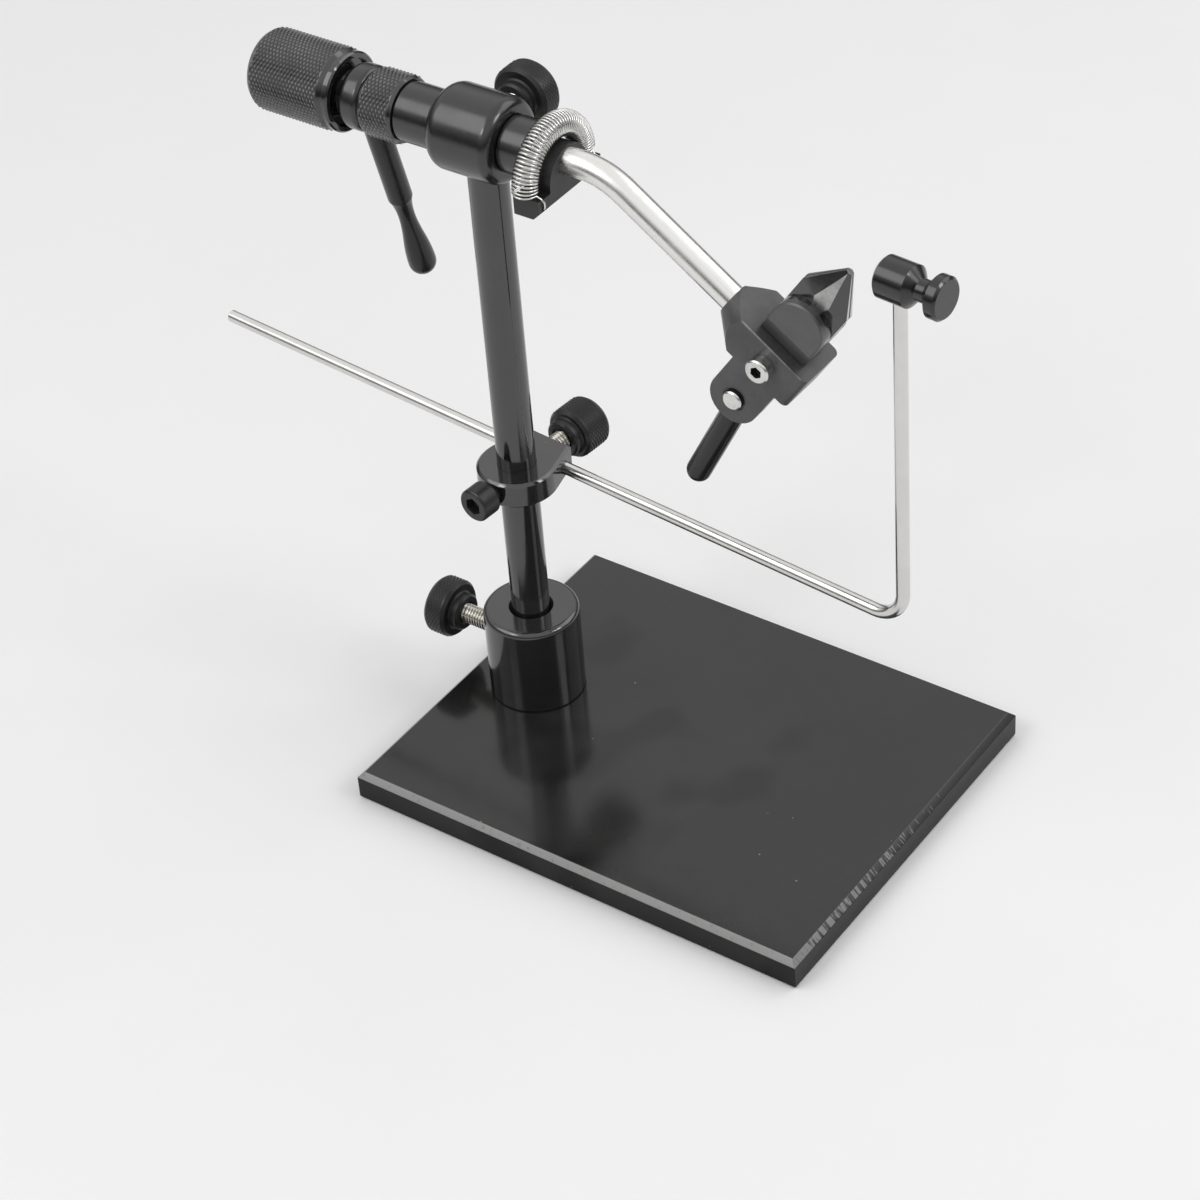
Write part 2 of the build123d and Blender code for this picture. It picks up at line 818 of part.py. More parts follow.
def nose_section(height, half, edge, ridge):
    """Cross-section of a jaw's nose at a height: flat inner face, thin edges and a middle ridge."""
    inner = jaw_split / 2
    frame = Plane(origin=(0, height, 0), x_dir=(1, 0, 0), z_dir=(0, -1, 0))
    points = [(-half, inner), (half, inner), (half, edge), (0, ridge), (-half, edge)]
    return frame * make_face(Polyline(*points, close=True))


# Cradle collar: tapered block on the stem, bored across for the cradle rod
def make_cradle_collar():
    reach = collar_reach
    end_half = collar_end_width / 2
    slope = atan2(collar_radius - end_half, reach)
    tangent_x = collar_radius * cos(slope)
    tangent_y = collar_radius * sin(slope)
    with BuildPart() as collar:
        with BuildSketch():
            with BuildLine():
                side = Polyline(
                    (tangent_x, tangent_y),
                    (end_half, reach),
                    (-end_half, reach),
                    (-tangent_x, tangent_y),
                )
                ThreePointArc(side @ 1, (0, -collar_radius), side @ 0)
            make_face()
        extrude(amount=collar_height / 2, both=True)
        chamfer(collar.faces().sort_by(Axis.Z)[-1].edges(), collar_edge)
        chamfer(collar.faces().sort_by(Axis.Z)[0].edges(), collar_edge)
    bore = Cylinder(stem_radius + running_fit, collar_height + overrun)
    rod_bore = Plane(origin=(0, cradle_rod_offset, 0), z_dir=(1, 0, 0)).location * Cylinder(
        rod_diameter / 2 + running_fit, collar_radius * 4
    )
    thumb_bore = rod_solid(
        stud_diameter / 2 + running_fit,
        reach - cradle_rod_offset + overrun,
        Plane(origin=(0, cradle_rod_offset, 0), z_dir=(0, 1, 0)),
    )
    lock_bore = rod_solid(
        lock_screw_diameter / 2 + seat_fit, collar_radius + overrun, Plane(origin=(0, 0, 0), z_dir=(0, -1, 0))
    )
    return cradle_frame * (collar.part - bore - rod_bore - thumb_bore - lock_bore)


# Collar lock screw: socket head screw that bears on the stem
def make_collar_lock_screw():
    shank = lock_screw_diameter / 2
    head = lock_screw_head_diameter / 2
    tip = stem_radius + stud_tip_gap
    seat = collar_radius + lock_screw_shown
    top = seat + lock_screw_head_length
    points = [
        (0, tip),
        (shank - lock_screw_edge, tip),
        (shank, tip + lock_screw_edge),
        (shank, seat),
        (head, seat),
        (head, top - lock_screw_edge),
        (head - lock_screw_edge, top),
        (0, top),
    ]
    key = hexagon_recess(lock_screw_key_width, lock_screw_key_depth, Plane((0, 0, top)))
    screw = turned(points, Plane.XY, [key])
    return cradle_frame * (Plane(origin=(0, 0, 0), z_dir=(0, -1, 0)).location * screw)


# Cradle rod: long bright rod with an upright end
def make_cradle_rod():
    rise = rest_height - collar_middle
    start = Vector(rod_rear, cradle_rod_offset, 0)
    corner = Vector(rod_corner, cradle_rod_offset, 0)
    end = Vector(rod_corner, cradle_rod_offset, rise + rest_bore_depth - rest_diameter / 2)
    with BuildPart() as rod:
        with BuildLine():
            FilletPolyline(start, corner, end, radius=rod_bend_radius)
        with BuildSketch(Plane(origin=start, z_dir=(1, 0, 0))):
            Circle(rod_diameter / 2)
        sweep()
    return cradle_frame * rod.part


# Bobbin rest: turned spool with a neck and a flared flange, bored from below for the rod
def make_bobbin_rest():
    body = rest_diameter / 2
    neck = rest_neck_diameter / 2
    flange = rest_flange_diameter / 2
    cone_end = rest_body_front + rest_cone_length
    neck_end = cone_end + rest_neck_length
    flare_end = neck_end + rest_flare_length
    front = flare_end + rest_flange_length
    points = [
        (0, -rest_rear),
        (body - rest_edge, -rest_rear),
        (body, -rest_rear + rest_edge),
        (body, rest_body_front),
        (neck, cone_end),
        (neck, neck_end),
        (flange, flare_end),
        (flange, front - rest_edge),
        (flange - rest_edge, front),
        (0, front),
    ]
    rise = rest_height - collar_middle
    frame = Plane(origin=(rod_corner, cradle_rod_offset, rise), x_dir=(0, 0, 1), z_dir=(1, 0, 0))
    spool = turned(points, frame)
    bore_low = rise - rest_diameter / 2 - overrun
    bore = rod_solid(
        rod_diameter / 2 + seat_fit,
        rest_bore_depth + overrun + seat_fit,
        Plane((rod_corner, cradle_rod_offset, bore_low)),
    )
    return cradle_frame * (spool - bore)


# Thumbscrews: a threaded stud and a knob on its outer end, in a frame whose Z axis points out
def make_stud(tip, seat, shown):
    radius = stud_diameter / 2
    outer = seat + shown + thumb_bore_depth
    points = chamfered_cylinder(radius, tip, outer - free_gap, stud_tip_chamfer, stud_tip_chamfer)
    return turned(points, Plane.XY)


def make_thumb(seat, shown):
    radius = thumb_diameter / 2
    shoulder = thumb_shoulder_diameter / 2
    bore = stud_diameter / 2 + running_fit
    low = seat + shown
    face = low + thumb_shoulder_length
    top = face + thumb_length
    floor = low + thumb_bore_depth
    points = [
        (bore, low),
        (shoulder - thumb_shoulder_chamfer, low),
        (shoulder, low + thumb_shoulder_chamfer),
        (shoulder, face),
        (radius - thumb_chamfer, face),
        (radius, face + thumb_chamfer),
        (radius, top - thumb_chamfer),
        (radius - thumb_chamfer, top),
        (0, top),
        (0, floor),
        (bore, floor),
    ]
    return turned(points, Plane.XY)


socket_thumb_frame = Plane(origin=(0, 0, plate_top + socket_screw_height), z_dir=(-1, 0, 0)).location
drag_thumb_frame = Plane(origin=(drag_screw_x, 0, axis_height), z_dir=(0, 1, 0)).location
cradle_thumb_frame = cradle_frame * Plane(origin=(0, 0, 0), z_dir=(0, 1, 0)).location
socket_stud_tip = stem_radius + stud_tip_gap
cradle_stud_tip = cradle_rod_offset + rod_diameter / 2 + stud_tip_gap
drag_pad_tip = journal_radius + stud_tip_gap
drag_stud_tip = drag_pad_tip + drag_pad_length


# Drag pad: soft tip of the drag screw that bears on the journal
def make_drag_pad():
    points = chamfered_cylinder(
        drag_pad_diameter / 2, drag_pad_tip, drag_stud_tip, sleeve_chamfer, sleeve_chamfer
    )
    return drag_thumb_frame * turned(points, Plane.XY)


front_bush_low = housing_front - housing_mouth_chamfer - bush_length
rear_bush_low = housing_rear + housing_mouth_chamfer
nodes = {
    "base_plate": make_base_plate(),
    "base_socket": make_base_socket(),
    "base_fixing_screw": make_base_fixing_screw(),
    "socket_stud": socket_thumb_frame * make_stud(socket_stud_tip, socket_radius, socket_stud_shown),
    "socket_thumb_knob": socket_thumb_frame * make_thumb(socket_radius, socket_stud_shown),
    "stem": make_stem(),
    "head_housing": make_head_housing(),
    "rear_bush": make_bush(rear_bush_low),
    "front_bush": make_bush(front_bush_low),
    "drag_stud": drag_thumb_frame * make_stud(drag_stud_tip, housing_radius, drag_stud_shown),
    "drag_pad": make_drag_pad(),
    "drag_thumb_knob": drag_thumb_frame * make_thumb(housing_radius, drag_stud_shown),
    "rotary_shaft": make_rotary_shaft(),
    "rear_sleeve": make_rear_sleeve(),
    "lock_ring": make_lock_ring(),
    "crank_hub": make_crank_hub(),
    "crank_lever": make_crank_lever(),
    "rear_knob": make_rear_knob(),
    "spine_rod": make_spine_rod(),
    "clip_block": make_clip_block(),
    "material_spring": make_material_spring(),
    "jaw_holder": make_jaw_holder(),
    "jaw_screw": make_jaw_screw(),
    "lever_pin": make_lever_pin(),
    "cam_lever": make_cam_lever(),
    "near_jaw": make_jaw(1),
    "far_jaw": make_jaw(-1),
    "cradle_collar": make_cradle_collar(),
    "collar_lock_screw": make_collar_lock_screw(),
    "cradle_stud": cradle_thumb_frame * make_stud(cradle_stud_tip, collar_reach, cradle_stud_shown),
    "cradle_thumb_knob": cradle_thumb_frame * make_thumb(collar_reach, cradle_stud_shown),
    "cradle_rod": make_cradle_rod(),
    "bobbin_rest": make_bobbin_rest(),
}

os.makedirs("parts", exist_ok=True)
for name, solid in nodes.items():
    export_step(solid, "parts/" + name + ".step")
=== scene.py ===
import json
from math import atan2, ceil, cos, hypot, pi, radians, sin, tau
import bmesh
import bpy
from mathutils import Matrix, Vector

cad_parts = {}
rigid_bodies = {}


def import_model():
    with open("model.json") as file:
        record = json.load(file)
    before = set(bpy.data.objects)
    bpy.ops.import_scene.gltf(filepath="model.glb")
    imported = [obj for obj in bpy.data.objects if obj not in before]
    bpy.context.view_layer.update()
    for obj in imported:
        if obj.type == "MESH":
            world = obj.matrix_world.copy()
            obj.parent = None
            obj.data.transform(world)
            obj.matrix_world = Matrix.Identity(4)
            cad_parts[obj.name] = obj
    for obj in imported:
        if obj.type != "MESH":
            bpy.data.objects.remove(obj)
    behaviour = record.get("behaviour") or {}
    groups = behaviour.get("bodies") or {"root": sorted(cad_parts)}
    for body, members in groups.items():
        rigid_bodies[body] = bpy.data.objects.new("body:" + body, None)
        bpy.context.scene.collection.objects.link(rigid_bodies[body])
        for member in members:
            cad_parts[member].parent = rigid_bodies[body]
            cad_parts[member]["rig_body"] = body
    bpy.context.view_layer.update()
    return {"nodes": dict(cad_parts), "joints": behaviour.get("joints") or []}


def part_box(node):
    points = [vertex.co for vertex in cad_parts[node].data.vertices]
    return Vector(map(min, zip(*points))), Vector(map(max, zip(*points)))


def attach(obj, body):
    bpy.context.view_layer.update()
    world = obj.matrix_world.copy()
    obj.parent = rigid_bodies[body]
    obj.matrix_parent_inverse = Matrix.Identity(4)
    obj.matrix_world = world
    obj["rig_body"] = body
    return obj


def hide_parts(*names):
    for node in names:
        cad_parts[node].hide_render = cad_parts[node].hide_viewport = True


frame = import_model()

# Base plate
# A slab of flat steel bar with its top edges bevelled, enamelled in gloss black, duller on its sides,
# where the duller copy of the enamel paints the shade of a dark reflection.
# The near bevel is pale grey steel, a painted reflection, and the enamel is chipped along the front
# bevel, where bare steel shows.
mm = 0.001
plate_edge = 0.15 * mm
enamel_black = (0.014, 0.014, 0.0145, 1.0)
enamel_pale = (0.019, 0.019, 0.0185, 1.0)
enamel_roughness = (0.10, 0.16)
smudge_black = (0.006, 0.006, 0.006, 1.0)
smudge_cut = (0.60, 0.72)
# Pale steel for the chips and worn edges, and for the painted reflection on the near bevel.
bare_steel_and_glint = (0.21, 0.21, 0.207, 1.0)
bare_and_glint_dulling = 0.34
bare_and_glint_metal_share = 0.75
dust_grey = (0.22, 0.22, 0.21, 1.0)
dust_dulling = 0.6
top_sheen = 0.5
# The sides' low sheen paints the shade of a dark reflection.
side_shade_sheen = 0.14
side_lean = 0.35
bevel_start = (0.45, 0.55)
bevel_end = (0.95, 0.85)
near_lean = (-0.45, -0.55)
chip_strokes = (90.0, 1100.0, 90.0)
chip_reach = (-51 * mm, 45 * mm)
chip_shares = (0.12, -0.22)
chip_cut = (0.50, 0.54)
glint_cut = (0.22, 0.40)
glint_shares = (0.55, 1.0)
ripple_height = 0.02 * mm
ripple_strength = 0.05
cloud_share = 0.75
mottle_ratio = 9.0
cloud_cut = (0.36, 0.64)
edge_turn = (0.985, 0.86)
breakup_cut = (0.40, 0.62)
speck_sizes = (0.03, 0.10)
weld = 0.001 * mm
flat_angle = radians(0.5)
sharp_corner = radians(32)
plain_crease = radians(34)


def put(tree, kind, sockets=(), **settings):
    """Adds a shader node. A socket takes a value, or the output of another node."""
    node = tree.nodes.new(kind)
    for name, value in settings.items():
        setattr(node, name, value)
    for name, value in dict(sockets).items():
        if isinstance(value, bpy.types.NodeSocket):
            tree.links.new(value, node.inputs[name])
        else:
            node.inputs[name].default_value = value
    return node


def math(tree, operation, first, second=0.5):
    """A maths node's result."""
    return put(tree, "ShaderNodeMath", {0: first, 1: second}, operation=operation).outputs[0]


def dot(tree, first, second):
    """The dot product of two vectors."""
    sockets = {0: first, 1: second}
    return put(tree, "ShaderNodeVectorMath", sockets, operation="DOT_PRODUCT").outputs["Value"]


def ramp(tree, value, limits=(0.0, 1.0), results=(0.0, 1.0)):
    """Maps a value from a pair of limits to a pair of results, held at both ends."""
    sockets = {
        "Value": value, "From Min": limits[0], "From Max": limits[1],
        "To Min": results[0], "To Max": results[1],
    }
    return put(tree, "ShaderNodeMapRange", sockets).outputs["Result"]


def blend(tree, share, first, second):
    """Mixes two colours by a share."""
    return put(tree, "ShaderNodeMix", {0: share, 6: first, 7: second}, data_type="RGBA").outputs[2]


def noise(tree, place, scale, detail, roughness=0.5):
    """A noise texture's value."""
    sockets = {"Vector": place, "Scale": scale, "Detail": detail, "Roughness": roughness}
    return put(tree, "ShaderNodeTexNoise", sockets).outputs["Fac"]


def stretch(tree, place, scale=(1.0, 1.0, 1.0), turn=(0.0, 0.0, 0.0)):
    """Coordinates stretched and turned, for marks that run one way."""
    sockets = {"Vector": place, "Scale": scale, "Rotation": turn}
    return put(tree, "ShaderNodeMapping", sockets).outputs["Vector"]


def new_group(name, inputs, outputs):
    """An empty shader group with named float inputs besides its Vector, and float outputs."""
    tree = bpy.data.node_groups.new(name, "ShaderNodeTree")
    tree.interface.new_socket(name="Vector", in_out="INPUT", socket_type="NodeSocketVector")
    for label, value in inputs.items():
        socket = tree.interface.new_socket(name=label, in_out="INPUT", socket_type="NodeSocketFloat")
        socket.default_value = value
    for label in outputs:
        tree.interface.new_socket(name=label, in_out="OUTPUT", socket_type="NodeSocketFloat")
    return tree, tree.nodes.new("NodeGroupInput").outputs, tree.nodes.new("NodeGroupOutput").inputs


def make_handling_marks():
    """Soft cloudy patches left by oil and fingers, with a finer mottle inside them."""
    inputs = {"Scale": 60.0, "Low": 0.1, "High": 0.3}
    tree, given, result = new_group("handling marks", inputs, ["Value"])
    cloud = noise(tree, given["Vector"], given["Scale"], detail=3.0, roughness=0.55)
    finer = math(tree, "MULTIPLY", given["Scale"], mottle_ratio)
    mottle = noise(tree, given["Vector"], finer, detail=2.0)
    mixed = math(
        tree, "ADD",
        math(tree, "MULTIPLY", cloud, cloud_share),
        math(tree, "MULTIPLY", mottle, 1.0 - cloud_share),
    )
    tree.links.new(ramp(tree, mixed, cloud_cut, (given["Low"], given["High"])), result["Value"])
    return tree


def make_worn_edges():
    """Mask of the edges where handling has rubbed a finish thin, broken up by a fine noise."""
    inputs = {"Radius": 0.4 * mm, "Breakup": 700.0, "Amount": 0.5}
    tree, given, result = new_group("worn edges", inputs, ["Mask"])
    rounded = put(tree, "ShaderNodeBevel", {"Radius": given["Radius"]}, samples=6).outputs["Normal"]
    surface = put(tree, "ShaderNodeNewGeometry").outputs["Normal"]
    edge = ramp(tree, dot(tree, rounded, surface), edge_turn)
    patches = noise(tree, given["Vector"], given["Breakup"], detail=3.0, roughness=0.6)
    broken = math(tree, "MULTIPLY", edge, ramp(tree, patches, breakup_cut))
    tree.links.new(math(tree, "MULTIPLY", broken, given["Amount"]), result["Mask"])
    return tree


def make_dust_specks():
    """Mask of the few pale specks that lie on a black finish under studio light."""
    tree, given, result = new_group("dust specks", {"Scale": 420.0, "Share": 0.08}, ["Mask"])
    cells = put(tree, "ShaderNodeTexVoronoi", {"Vector": given["Vector"], "Scale": given["Scale"]})
    chance = put(tree, "ShaderNodeSeparateColor", {"Color": cells.outputs["Color"]})
    chosen = math(tree, "LESS_THAN", chance.outputs["Red"], given["Share"])
    size = ramp(tree, chance.outputs["Green"], results=speck_sizes)
    speck = math(tree, "LESS_THAN", cells.outputs["Distance"], size)
    tree.links.new(math(tree, "MULTIPLY", speck, chosen), result["Mask"])
    return tree


handling_marks = make_handling_marks()
worn_edges = make_worn_edges()
dust_specks = make_dust_specks()


def clouds(tree, place, scale, limits=(0.0, 1.0)):
    """Places the handling marks, between a lowest and a highest value."""
    sockets = {"Vector": place, "Scale": scale, "Low": limits[0], "High": limits[1]}
    return put(tree, "ShaderNodeGroup", sockets, node_tree=handling_marks).outputs["Value"]


def worn(tree, place, radius, breakup, amount):
    """Places the mask of worn edges."""
    sockets = {"Vector": place, "Radius": radius, "Breakup": breakup, "Amount": amount}
    return put(tree, "ShaderNodeGroup", sockets, node_tree=worn_edges).outputs["Mask"]


def dust(tree, place, scale, share):
    """Places the mask of dust specks."""
    sockets = {"Vector": place, "Scale": scale, "Share": share}
    return put(tree, "ShaderNodeGroup", sockets, node_tree=dust_specks).outputs["Mask"]


def new_finish(name):
    """A material, its node tree, its shader and its Object coordinates."""
    material = bpy.data.materials.new(name)
    material.use_nodes = True
    tree = material.node_tree
    place = put(tree, "ShaderNodeTexCoord").outputs["Object"]
    return material, tree, tree.nodes["Principled BSDF"], place


def feed(tree, shader, sockets):
    """Links what changes over the surface to the shader."""
    for name, value in sockets.items():
        tree.links.new(value, shader.inputs[name])


def bump(tree, shader, height, distance, strength):
    """Feeds a height to the shader's normal."""
    node = put(tree, "ShaderNodeBump", {"Height": height, "Distance": distance, "Strength": strength})
    tree.links.new(node.outputs["Normal"], shader.inputs["Normal"])


def node_copy(node):
    """A merged copy of a solid's mesh, with its flat faces made whole."""
    bm = bmesh.new()
    bm.from_mesh(frame["nodes"][node].data)
    bmesh.ops.remove_doubles(bm, verts=bm.verts, dist=weld)
    bmesh.ops.dissolve_limit(bm, angle_limit=flat_angle, verts=bm.verts, edges=bm.edges)
    return bm


def soften(bm, width):
    """Breaks every sharp edge by a small round."""
    edges = [edge for edge in bm.edges if edge.is_manifold and edge.calc_face_angle() > sharp_corner]
    bmesh.ops.bevel(
        bm, geom=edges, offset=width, offset_type="OFFSET", segments=2, profile=0.5,
        affect="EDGES", clamp_overlap=True, material=-1,
    )


def settle_normals(piece):
    """Weighs each corner's shading by face area, so that flat faces stay flat up to their rounds."""
    weighing = piece.modifiers.new("settle normals", "WEIGHTED_NORMAL")
    weighing.keep_sharp = True
    bpy.context.view_layer.update()
    graph = bpy.context.evaluated_depsgraph_get()
    plain = piece.data
    settled = bpy.data.meshes.new_from_object(
        piece.evaluated_get(graph), preserve_all_data_layers=True, depsgraph=graph
    )
    piece.modifiers.clear()
    piece.data = settled
    bpy.data.meshes.remove(plain)
    settled.name = piece.name


def make_piece(bm, node, *finishes, crease=plain_crease):
    """Turns a bmesh into the finished piece that stands for a solid, riding on the solid's body."""
    mesh = bpy.data.meshes.new("finished_" + node)
    bm.to_mesh(mesh)
    bm.free()
    mesh.shade_smooth()
    mesh.set_sharp_from_angle(angle=crease)
    for finish in finishes:
        mesh.materials.append(finish)
    piece = bpy.data.objects.new("finished_" + node, mesh)
    bpy.context.scene.collection.objects.link(piece)
    settle_normals(piece)
    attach(piece, frame["nodes"][node]["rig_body"])
    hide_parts(node)


def dress(node, finish, edge_width):
    """The finished piece of a solid whose own shape is right, with its edges broken."""
    bm = node_copy(node)
    soften(bm, edge_width)
    make_piece(bm, node, finish)


def make_plate_enamel(name, sheen):
    """Gloss black enamel, pale steel on the near bevel as a painted reflection, and chipped along the
    front one.
    """
    material, tree, shader, place = new_finish(name)
    shader.inputs["Specular IOR Level"].default_value = sheen
    normal = put(tree, "ShaderNodeTexCoord").outputs["Normal"]
    way = put(tree, "ShaderNodeSeparateXYZ", {"Vector": normal}).outputs
    spot = put(tree, "ShaderNodeSeparateXYZ", {"Vector": place}).outputs
    sloped = math(tree, "MULTIPLY", ramp(tree, way["Z"], bevel_start), ramp(tree, way["Z"], bevel_end))
    near_bevel = math(tree, "MULTIPLY", sloped, ramp(tree, way["Y"], near_lean))
    front_bevel = math(tree, "MULTIPLY", sloped, ramp(tree, way["X"], bevel_start))
    chips = noise(tree, stretch(tree, place, chip_strokes), scale=1.0, detail=4.0, roughness=0.7)
    reach = ramp(tree, spot["Y"], chip_reach, chip_shares)
    chipped = ramp(tree, math(tree, "ADD", chips, reach), chip_cut)
    # The near bevel's pale steel is a painted reflection, broken up by a fine noise; the chips along the
    # front bevel are bare steel.
    rub_and_glint = ramp(tree, noise(tree, place, scale=900.0, detail=2.0), glint_cut, glint_shares)
    bare_and_glint = math(
        tree, "MAXIMUM",
        math(tree, "MULTIPLY", near_bevel, rub_and_glint),
        math(tree, "MULTIPLY", front_bevel, chipped),
    )
    edge = worn(tree, place, radius=0.5 * mm, breakup=260.0, amount=0.25)
    bare_and_glint = math(tree, "MAXIMUM", bare_and_glint, edge)
    smudge = ramp(tree, noise(tree, place, scale=48.0, detail=1.5, roughness=0.4), smudge_cut)
    enamel = blend(tree, clouds(tree, place, scale=28.0), enamel_black, enamel_pale)
    enamel = blend(tree, smudge, enamel, smudge_black)
    specks = dust(tree, place, scale=330.0, share=0.06)
    coated = blend(tree, specks, enamel, dust_grey)
    dulled = math(
        tree, "ADD",
        math(tree, "MULTIPLY", bare_and_glint, bare_and_glint_dulling),
        math(tree, "MULTIPLY", specks, dust_dulling),
    )
    feed(tree, shader, {
        "Base Color": blend(tree, bare_and_glint, coated, bare_steel_and_glint),
        "Roughness": math(tree, "ADD", clouds(tree, place, 30.0, enamel_roughness), dulled),
        "Metallic": math(tree, "MULTIPLY", bare_and_glint, bare_and_glint_metal_share),
    })
    bump(tree, shader, noise(tree, place, scale=220.0, detail=2.0), ripple_height, ripple_strength)
    return material


plate = node_copy("base_plate")
soften(plate, plate_edge)
plate.normal_update()
# The sides take a copy of the enamel with a low sheen, which paints the shade of a dark reflection on
# them.
for face in plate.faces:
    if face.normal.z < side_lean:
        face.material_index = 1
top_enamel = make_plate_enamel("plate enamel", top_sheen)
shaded_side_enamel = make_plate_enamel("plate side enamel painted shade", side_shade_sheen)
make_piece(plate, "base_plate", top_enamel, shaded_side_enamel)

# Base socket and stem
# The socket is a turned steel boss, screwed down from under the plate, and the stem is a plain rod
# in its bore. Both are finished in the same gloss black, a little thin on the socket's rim.
socket_edge = 0.2 * mm
stem_edge = 0.15 * mm
black_steel_ior = 1.8
turned_black = (0.008, 0.008, 0.0085, 1.0)
turned_pale = (0.014, 0.014, 0.0145, 1.0)
worn_grey = (0.30, 0.30, 0.30, 1.0)
edge_metal_share = 0.6
upright_marks = (12.0, 12.0, 2600.0)
mark_cut = (0.3, 0.7)
mark_dulling = (-0.03, 0.03)
mark_height = 0.004 * mm
mark_strength = 0.35


def make_turned_black(name, mark_scale, roughness, gloss_ior=black_steel_ior):
    """Gloss black over turning marks that run round the axis with the large scale."""
    material, tree, shader, place = new_finish(name)
    shader.inputs["IOR"].default_value = gloss_ior
    marks = noise(tree, stretch(tree, place, mark_scale), scale=1.0, detail=3.0, roughness=0.65)
    edge = worn(tree, place, radius=0.35 * mm, breakup=500.0, amount=0.35)
    black = blend(tree, clouds(tree, place, scale=90.0), turned_black, turned_pale)
    coated = blend(tree, dust(tree, place, scale=700.0, share=0.05), black, dust_grey)
    uneven = ramp(tree, marks, mark_cut, mark_dulling)
    feed(tree, shader, {
        "Base Color": blend(tree, edge, coated, worn_grey),
        "Roughness": math(tree, "ADD", clouds(tree, place, 110.0, roughness), uneven),
        "Metallic": math(tree, "MULTIPLY", edge, edge_metal_share),
    })
    bump(tree, shader, marks, mark_height, mark_strength)
    return material


upright_black = make_turned_black("upright gloss black", upright_marks, roughness=(0.08, 0.16))
dress("base_socket", upright_black, socket_edge)
dress("stem", upright_black, stem_edge)

# Fixing screw under the plate
# A countersunk socket screw in bright zinc plate, let into the underside of the slab.
# It draws the socket down on the plate.
screw_edge = 0.1 * mm
zinc_grey = (0.74, 0.72, 0.66, 1.0)
grain_dulling = (-0.04, 0.06)
grain_height = 0.006 * mm
grain_strength = 0.4


def make_plated_steel(name, colour, roughness, grain, dulling=0.78):
    """Plated or polished metal, with a fine grain and a cloudy gloss."""
    material, tree, shader, place = new_finish(name)
    shader.inputs["Metallic"].default_value = 1.0
    lines = noise(tree, stretch(tree, place, grain), scale=1.0, detail=4.0, roughness=0.7)
    dulled = tuple(dulling * value for value in colour[:3]) + (1.0,)
    uneven = ramp(tree, lines, mark_cut, grain_dulling)
    feed(tree, shader, {
        "Base Color": blend(tree, clouds(tree, place, scale=160.0), colour, dulled),
        "Roughness": math(tree, "ADD", clouds(tree, place, 240.0, roughness), uneven),
    })
    bump(tree, shader, lines, grain_height, grain_strength)
    return material


zinc_plate = make_plated_steel("zinc plate", zinc_grey, roughness=(0.20, 0.34), grain=3 * (900.0,))
dress("base_fixing_screw", zinc_plate, screw_edge)

# Thumbscrews
# Three alike: a black knob with a knurled rim and a turned shoulder, pressed on a zinc-plated stud.
# One clamps the stem in the socket, one drags on the rotary shaft and one holds the cradle rod.
stud_radius = 2.5 * mm
stud_pitch = 0.8 * mm
thread_depth = 0.42 * mm
thread_steps = 24
crest_low_share = 0.42
crest_high_share = 0.58
thread_crease = radians(50)
thumb_pitch = 0.9 * mm
thumb_knurl_depth = 0.16 * mm
thumb_chamfer = 0.8 * mm
thumb_shoulder_length = 2.4 * mm
thumb_shoulder_radius = 4.8 * mm
shoulder_chamfer = 0.5 * mm
shoulder_root = 0.4 * mm
stud_gap = 0.25 * mm
stud_lead = 0.6 * mm
stud_lead_depth = 0.3 * mm
thumb_dish_radius = 5.6 * mm
thumb_dish_depth = 0.35 * mm
seam_weld = 0.002 * mm
grip_slack = 0.01 * mm
grip_crease = radians(28)
lacquer_ior = 1.45
grip_black = (0.009, 0.009, 0.0095, 1.0)
grip_pale = (0.016, 0.016, 0.016, 1.0)
thumb_crest = (0.055, 0.055, 0.054, 1.0)
crest_cut = (0.40, 0.90)
crest_shares = (0.35, 1.0)
crest_metal_share = 0.5
grip_grain_height = 0.01 * mm
grip_grain_strength = 0.3


def close_profile(bm, outline, steps, turn=tau, rise=0.0):
    """Spins an open outline of (radius, along) points about Z and welds what meets."""
    verts = [bm.verts.new((radius, 0.0, along)) for radius, along in outline]
    edges = [bm.edges.new(pair) for pair in zip(verts, verts[1:])]
    bmesh.ops.spin(
        bm, geom=verts + edges, cent=(0.0, 0.0, 0.0), axis=(0.0, 0.0, 1.0), dvec=(0.0, 0.0, rise),
        angle=turn, steps=steps, use_merge=turn == tau, use_duplicate=False,
    )
    bmesh.ops.remove_doubles(bm, verts=bm.verts, dist=seam_weld)
    bmesh.ops.recalc_face_normals(bm, faces=bm.faces)


def frame_along(origin, out):
    """Matrix that puts local Z along a direction at an origin."""
    turn = Vector((0.0, 0.0, 1.0)).rotation_difference(out)
    return Matrix.Translation(origin) @ turn.to_matrix().to_4x4()


def threaded_rod(radius, pitch, depth, low, high):
    """A screw thread about Z, cut square at both ends."""
    bm = bmesh.new()
    root = radius - depth
    tooth = [(root, 0.0), (radius, crest_low_share), (radius, crest_high_share), (root, 1.0)]
    turns = ceil((high - low) / pitch) + 2
    close_profile(
        bm, [(size, share * pitch + low - pitch) for size, share in tooth], thread_steps * turns,
        tau * turns, pitch / thread_steps,
    )
    for end, way in ((low, -1.0), (high, 1.0)):
        cut = bmesh.ops.bisect_plane(
            bm, geom=bm.verts[:] + bm.edges[:] + bm.faces[:], plane_co=(0.0, 0.0, end),
            plane_no=(0.0, 0.0, way), clear_outer=True,
        )
        rim = [item for item in cut["geom_cut"] if isinstance(item, bmesh.types.BMEdge)]
        bmesh.ops.edgeloop_fill(bm, edges=rim)
    bmesh.ops.recalc_face_normals(bm, faces=bm.faces)
    return bm


def grip_rows(radius, low, high, rows):
    """The outline points of a grip, one for each row of the knurl."""
    return [(radius, low + (high - low) * row / rows) for row in range(rows + 1)]


